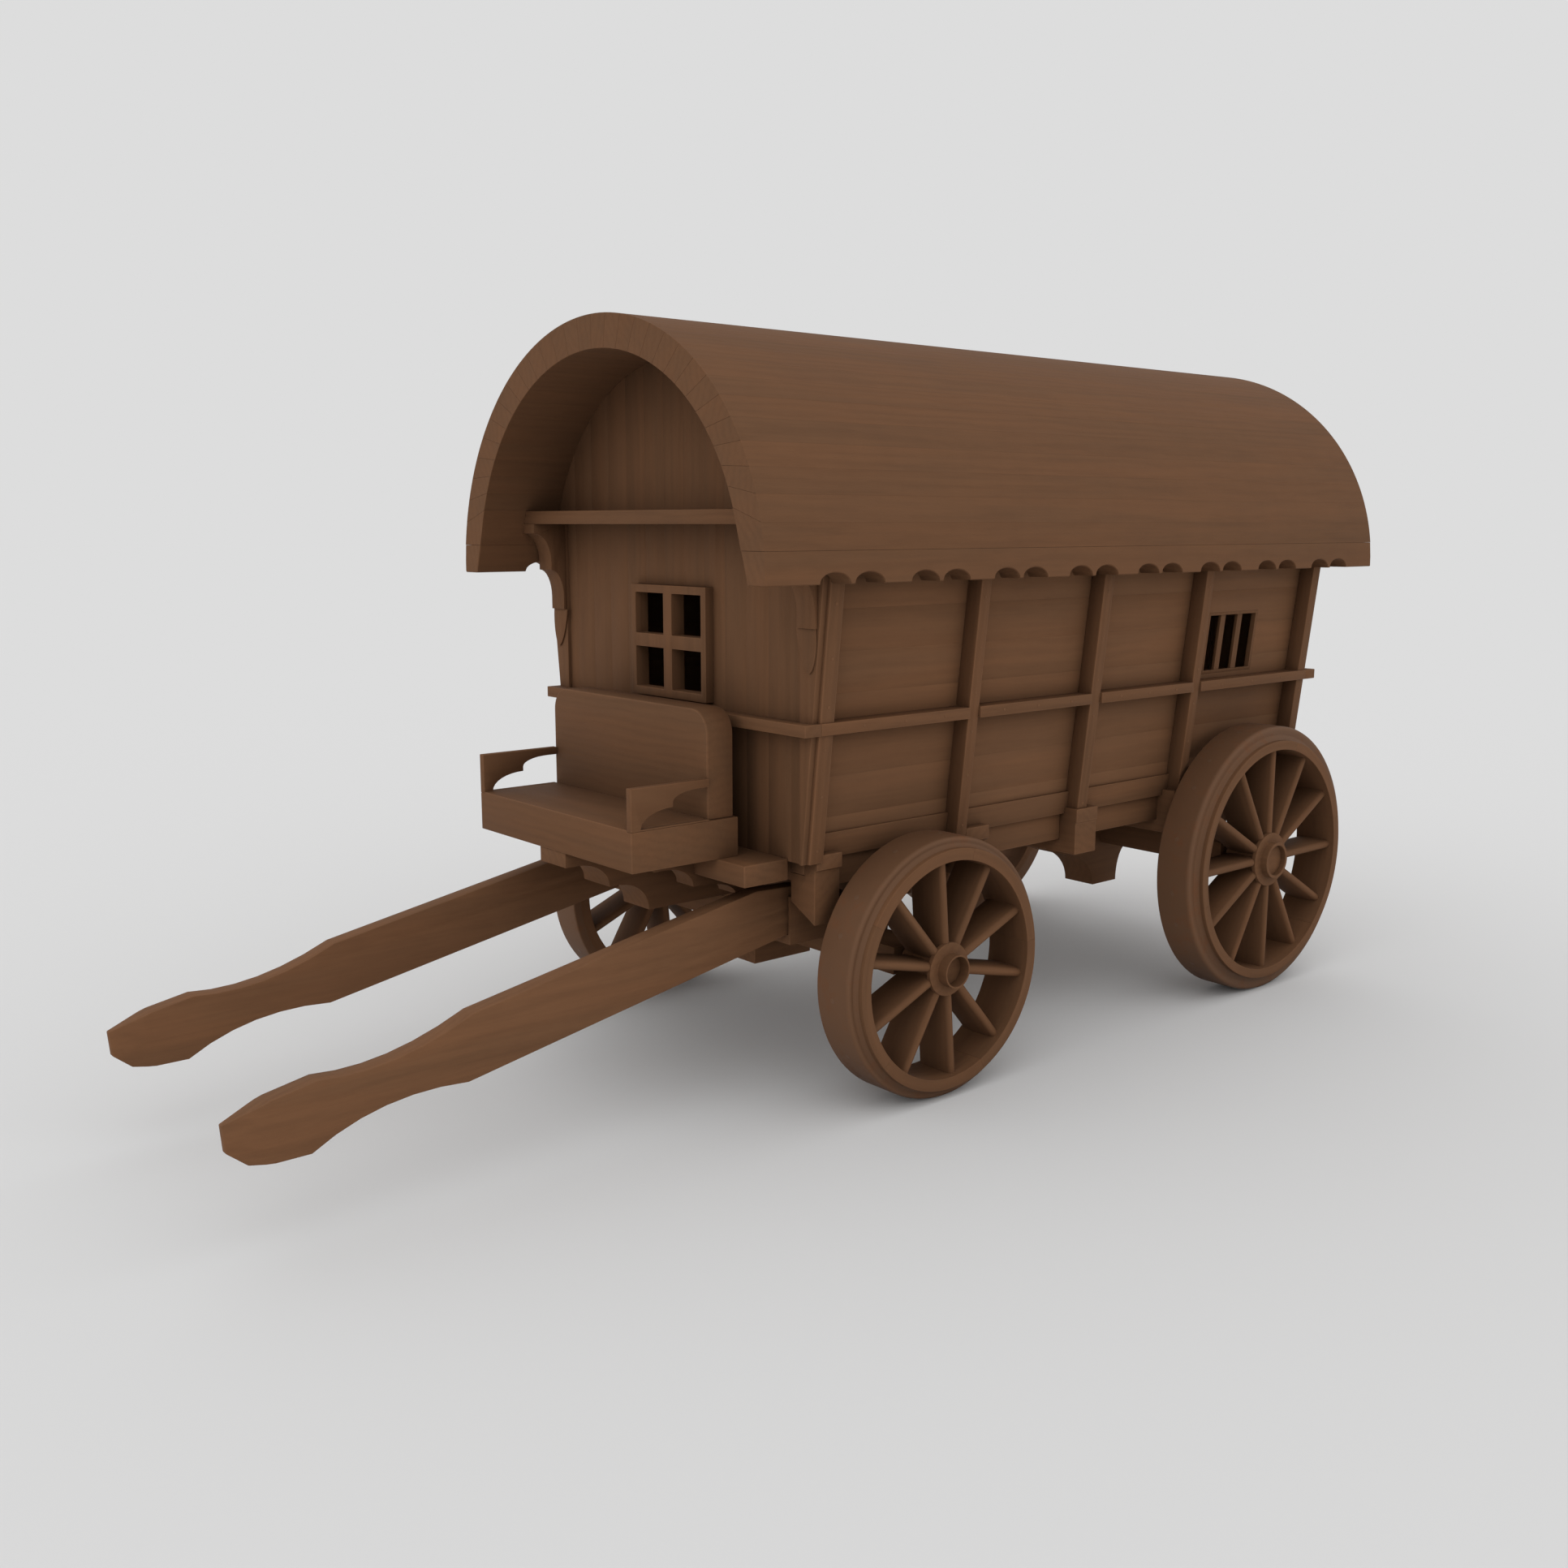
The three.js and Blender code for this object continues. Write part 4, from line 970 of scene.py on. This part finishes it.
own_shift = setting_out.node(
    "FunctionNodeRandomValue", vector_kind, {0: (0.0, 0.0, 0.0), 1: (log_size,) * 3, "Seed": given["Seed"]}
)
marked = store("shift", given["Places"], own_shift.outputs[0])
pattern_shape = setting_out.node(
    "GeometryNodeObjectInfo", {"transform_space": "ORIGINAL"}, {"Object": given["Pattern"]}
)
copies = setting_out.node(
    "GeometryNodeInstanceOnPoints",
    None,
    {"Points": marked, "Instance": pattern_shape.outputs["Geometry"], "Rotation": stored("turn")},
)
made_real = setting_out.node("GeometryNodeRealizeInstances", None, {"Geometry": copies.outputs[0]})
new_grain = setting_out.node(
    "ShaderNodeVectorMath", {"operation": "ADD"}, {0: stored("grain"), 1: stored("shift")}
)
regrained = store("grain", made_real.outputs[0], new_grain.outputs[0])
coated = setting_out.node(
    "GeometryNodeSetMaterial", None, {"Geometry": regrained, "Material": given["Finish"]}
)
setting_out.node("NodeGroupOutput", None, {0: coated.outputs[0]})


def set_out(name, places, pattern, finish, seed):
    """One mesh with a copy of a pattern at each place, given as a matrix. The pattern itself is used up."""
    host_mesh = bpy.data.meshes.new(name + "_places")
    host_mesh.from_pydata([place.translation for place in places], [], [])
    turns = host_mesh.attributes.new("turn", "FLOAT_VECTOR", "POINT")
    for at, place in zip(turns.data, places):
        at.vector = place.to_euler()
    host = link(name + "_host", host_mesh)
    layer = host.modifiers.new("setting_out", "NODES")
    layer.node_group = setting_out.tree
    layer[inlet["Pattern"]] = pattern
    layer[inlet["Finish"]] = finish
    layer[inlet["Seed"]] = seed
    bpy.context.view_layer.update()
    evaluated = host.evaluated_get(bpy.context.evaluated_depsgraph_get())
    mesh = bpy.data.meshes.new_from_object(evaluated)
    mesh.name = name
    bpy.data.objects.remove(host)
    bpy.data.objects.remove(pattern)
    return link(name, mesh)


for row in wheel_rows:
    centre = (front_face + row["station"], row["radius"])
    rim_in, rim_out = row["radius"] - row["rim"], row["radius"] - row["tyre"]
    felloe_profile = rounded(
        [(rim_in, wheel_back), (rim_out, wheel_back), (rim_out, ring_front), (rim_in, ring_front)],
        [0.004, 0, 0.0030, 0.0025],
    )
    for side, way in both_sides:
        node = f"{side}_{row['axle']}_wheel"
        felloes, step, first = felloes_of(row)
        parts = []
        for i in range(felloes):
            begin = first + step * i + half_joint / rim_out
            end = begin + step - 2 * half_joint / rim_out
            parts.append((swept(felloe_profile, centre, begin, end, felloe_steps, False), None))
        parts.append((turned_hub(row, centre), along_x))
        parts.append((hub_cap(row, centre), along_x))
        if side == "right":
            parts = [(mirror_x(shape), grain) for shape, grain in parts]
        fit(assemble(node + "_rim_and_hub", parts, [frame_wood], 32.0), node)

        spoke = assemble(node + "_spoke_pattern", [(blade_spoke(row), along_z)], [frame_wood], 50.0)
        middle = Matrix.Translation((0.0, *centre))
        if side == "right":
            middle = middle @ Matrix.Rotation(math.pi, 4, "Z")
        places = []
        for i in range(row["spokes"]):
            around = math.radians(row["first"]) + 2 * math.pi * i / row["spokes"]
            lean_over = (around - math.pi / 2) * way
            places.append(middle @ Matrix.Rotation(lean_over, 4, "X"))
        spokes = set_out(node + "_spokes", places, spoke, frame_wood, row["spokes"])
        fit(spokes, node)

# ---------------------------------------------------------------- tyres
# Hoops of mild steel shrunk on hot, as wide as the felloes behind the ring, round at the shoulder and dished
# where they meet it, painted the same brown and worn by the road.
def iron(name, colour, roughness):
    """Brown paint over forged iron: slight hammer marks, mottled wear and a dull bloom of rust in places."""
    coat = Tree(bpy.data.materials.new(name))
    place = coat.node("ShaderNodeTexCoord").outputs["Object"]
    mottle = coat.noise(place, 14.0, 6.0, 0.62)
    cloud = coat.noise(place, 2.3, 3.0, 0.5)
    grit = coat.noise(place, 420.0, 3.0, 0.6)
    hammering = coat.node("ShaderNodeTexVoronoi", {"feature": "SMOOTH_F1"}, {"Vector": place, "Scale": 55.0})
    dents = coat.number(hammering, "Distance")
    rust = coat.spread(mottle * 0.6 + cloud * 0.4, 0.52, 0.66)
    shade = 1.0 + 0.16 * (cloud - 0.5) + 0.12 * (mottle - 0.5) + 0.06 * (grit - 0.5)
    body = coat.blend(rust, colour, toned(colour, 1.10, 0.94, 0.84))
    rough = roughness + 0.18 * rust + 0.10 * (mottle - 0.5)
    height = 0.5 * dents + 0.4 * grit + 0.6 * rust
    bump = coat.node("ShaderNodeBump", None, {"Strength": 0.35, "Distance": 0.0006, "Height": height})
    return coat.surface(
        {
            "Base Color": shaded(coat, body, colour, shade),
            "Roughness": rough,
            "Metallic": 0.12,
            "Specular IOR Level": 0.18,
            "Normal": bump.outputs[0],
        }
    )


painted_iron = iron("painted_iron", (0.146, 0.0720, 0.0364, 1.0), 0.60)
worn_iron = iron("worn_iron_edge", (0.150, 0.0800, 0.0450, 1.0), 0.52)
iron_finishes = [painted_iron, worn_iron]

for row in wheel_rows:
    centre = (front_face + row["station"], row["radius"])
    rim_out = row["radius"] - row["tyre"] + seam
    tread = row["radius"]
    shoulder = min(0.020, 0.45 * row["tyre"])
    tyre_profile = rounded(
        [
            (rim_out, wheel_back), (tread, wheel_back), (tread, tyre_front),
            (rim_out + 0.35 * row["tyre"], tyre_front - 0.005), (rim_out + 0.004, tyre_front + 0.004),
            (rim_out, tyre_front + 0.010),
        ],
        [0, 0.008, shoulder, 0.010, 0.006, 0],
    )
    for side in ("left", "right"):
        node = f"{side}_{row['axle']}_tyre"
        hoop = swept(tyre_profile, centre, 0.0, 2 * math.pi, tyre_sides, True)
        if side == "right":
            mirror_x(hoop)
        fit(assemble(node + "_hoop", [(hoop, None)], [painted_iron], 40.0), node)

# ---------------------------------------------------------------- turntable, king pin and hinges
# Forged and turned iron: two plates that slide on each other around the king pin, and pin hinges on a long
# plate beside the rear doorway.
iron_sharp_from = 0.7  # radians; blunter edges are left as forged
iron_rows = (
    # node, easing of the edges
    ("upper_turntable_plate", 0.0015),
    ("lower_turntable_plate", 0.0015),
    ("king_pin", 0.0015),
    ("door_hinges", 0.0010),
)
for node, ease in iron_rows:
    dress(node, "_forging", along_x, ease, iron_finishes, iron_sharp_from)

# ---------------------------------------------------------------- rear door
# Five upright boards held flush by three ledges on the inside, hung on forged straps that are bolted right
# through, with a plain hardwood pull near the free edge.
far = 9.0  # beyond the whole wagon
door_shape = clean_copy("rear_door")
panel = cut_to(door_shape, 1, -far, rear_face)
door_parts = [(board, along_z) for board in into_boards(panel, 0, 0.132, 0.0009)]
panel.free()
hinge_heights = (1.210, 1.860, 2.510)
wall_depth = 0.025
ledge_near, ledge_far, ledge_half, ledge_depth = -0.285, 0.265, 0.055, 0.020
inside = rear_face - wall_depth
for height in hinge_heights:
    low, high = height - ledge_half, height + ledge_half
    ledge_outline = [(ledge_near, low), (ledge_far, low), (ledge_far, high), (ledge_near, high)]
    door_parts.append((prism(ledge_outline, 1, inside - ledge_depth, inside - seam, 0.004), along_x))
fit(assemble("rear_door_boards", door_parts, [board_wood, worn_board]), "rear_door")

fittings = cut_to(door_shape, 1, rear_face + clearance, far)
pull = cut_to(fittings, 0, -far, 0.0)
ease_edges(pull, 0.006)
fit(assemble("rear_door_pull", [(pull, along_z)], timber_finishes), "rear_door")
straps = cut_to(fittings, 0, 0.0, far)
ease_edges(straps, 0.0012, iron_sharp_from)
fit(assemble("rear_door_straps", [(straps, along_x)], iron_finishes), "rear_door")
fittings.free()
door_shape.free()

# ---------------------------------------------------------------- pegs and bolts
# Ribs and belts are held by oak pegs left a hair proud. Straps and tyres are held by round bolt heads, the
# tyre's countersunk so that only a thin disc shows.
def button(radius, proud, rounding):
    """A round head on a short shank, its face towards +Z and its seat at the origin."""
    shank, sides = 0.004, 14
    profile = (
        (radius, -shank),
        (radius, proud - rounding),
        (radius - 0.6 * rounding, proud - 0.2 * rounding),
        (radius - 1.6 * rounding, proud),
    )
    turns = turns_of(sides)
    return loft([[Vector((r * math.cos(turn), r * math.sin(turn), z)) for turn in turns] for r, z in profile])


def standing_on(point, outward):
    """The place of a button seated at a point and facing outwards from it."""
    return Matrix.Translation(point) @ outward.to_track_quat("Z", "Y").to_matrix().to_4x4()


peg_places = []
peg_heights = (1.030, 1.240, 1.420, 1.580, 1.760, 1.960)
out_of_rib = Vector((1.0, 0.0, -lean)).normalized()
for front, back, _ in rib_rows:
    station = front_face + (front + back) / 2
    for height in peg_heights:
        peg_places.append((Vector((rib_face(height), station, height)), out_of_rib))
for front, back in zip(rib_rows[:-1], rib_rows[1:]):
    for share in (0.2, 0.5, 0.8):
        station = front_face + front[1] + share * (back[0] - front[1])
        peg_places.append((Vector((belt_face, station, (belt_low + belt_high) / 2)), Vector(along_x)))
for side, way in both_sides:
    places = []
    for point, outward in peg_places:
        flip = Vector((way, 1.0, 1.0))
        places.append(standing_on(point * flip, outward * flip))
    peg = assemble(side + "_peg_pattern", [(button(0.0065, 0.0010, 0.0006), along_z)], [frame_wood], 40.0)
    pegs = set_out(side + "_side_pegs", places, peg, worn_frame, 11)
    fit(pegs, side + "_side_frame")

bolt = assemble("strap_bolt_pattern", [(button(0.0085, 0.0040, 0.0024), along_z)], [painted_iron], 50.0)
hinge_line, strap_face = 0.336, rear_face + 0.006
places = [
    standing_on(Vector((hinge_line - reach, strap_face, height)), Vector(along_y))
    for height in hinge_heights
    for reach in (0.070, 0.160, 0.250)
]
fit(set_out("rear_door_bolts", places, bolt, worn_iron, 5), "rear_door")

bolt_line = 0.944  # across the wagon, near the middle of the tread
for row in wheel_rows:
    for side, way in both_sides:
        node = f"{side}_{row['axle']}_tyre"
        felloes, step, first = felloes_of(row)
        places = []
        for i in range(felloes):
            for share in (0.12, 0.50, 0.88):
                turn = first + step * (i + share)
                outward = Vector((0.0, math.cos(turn), math.sin(turn)))
                hub = Vector((way * bolt_line, front_face + row["station"], row["radius"]))
                places.append(standing_on(hub + outward * row["radius"], outward))
        bolt_head = (button(0.011, 0.0004, 0.0003), along_z)
        head = assemble(node + "_bolt_pattern", [bolt_head], [painted_iron], 50.0)
        fit(set_out(node + "_bolts", places, head, worn_iron, 7), node)
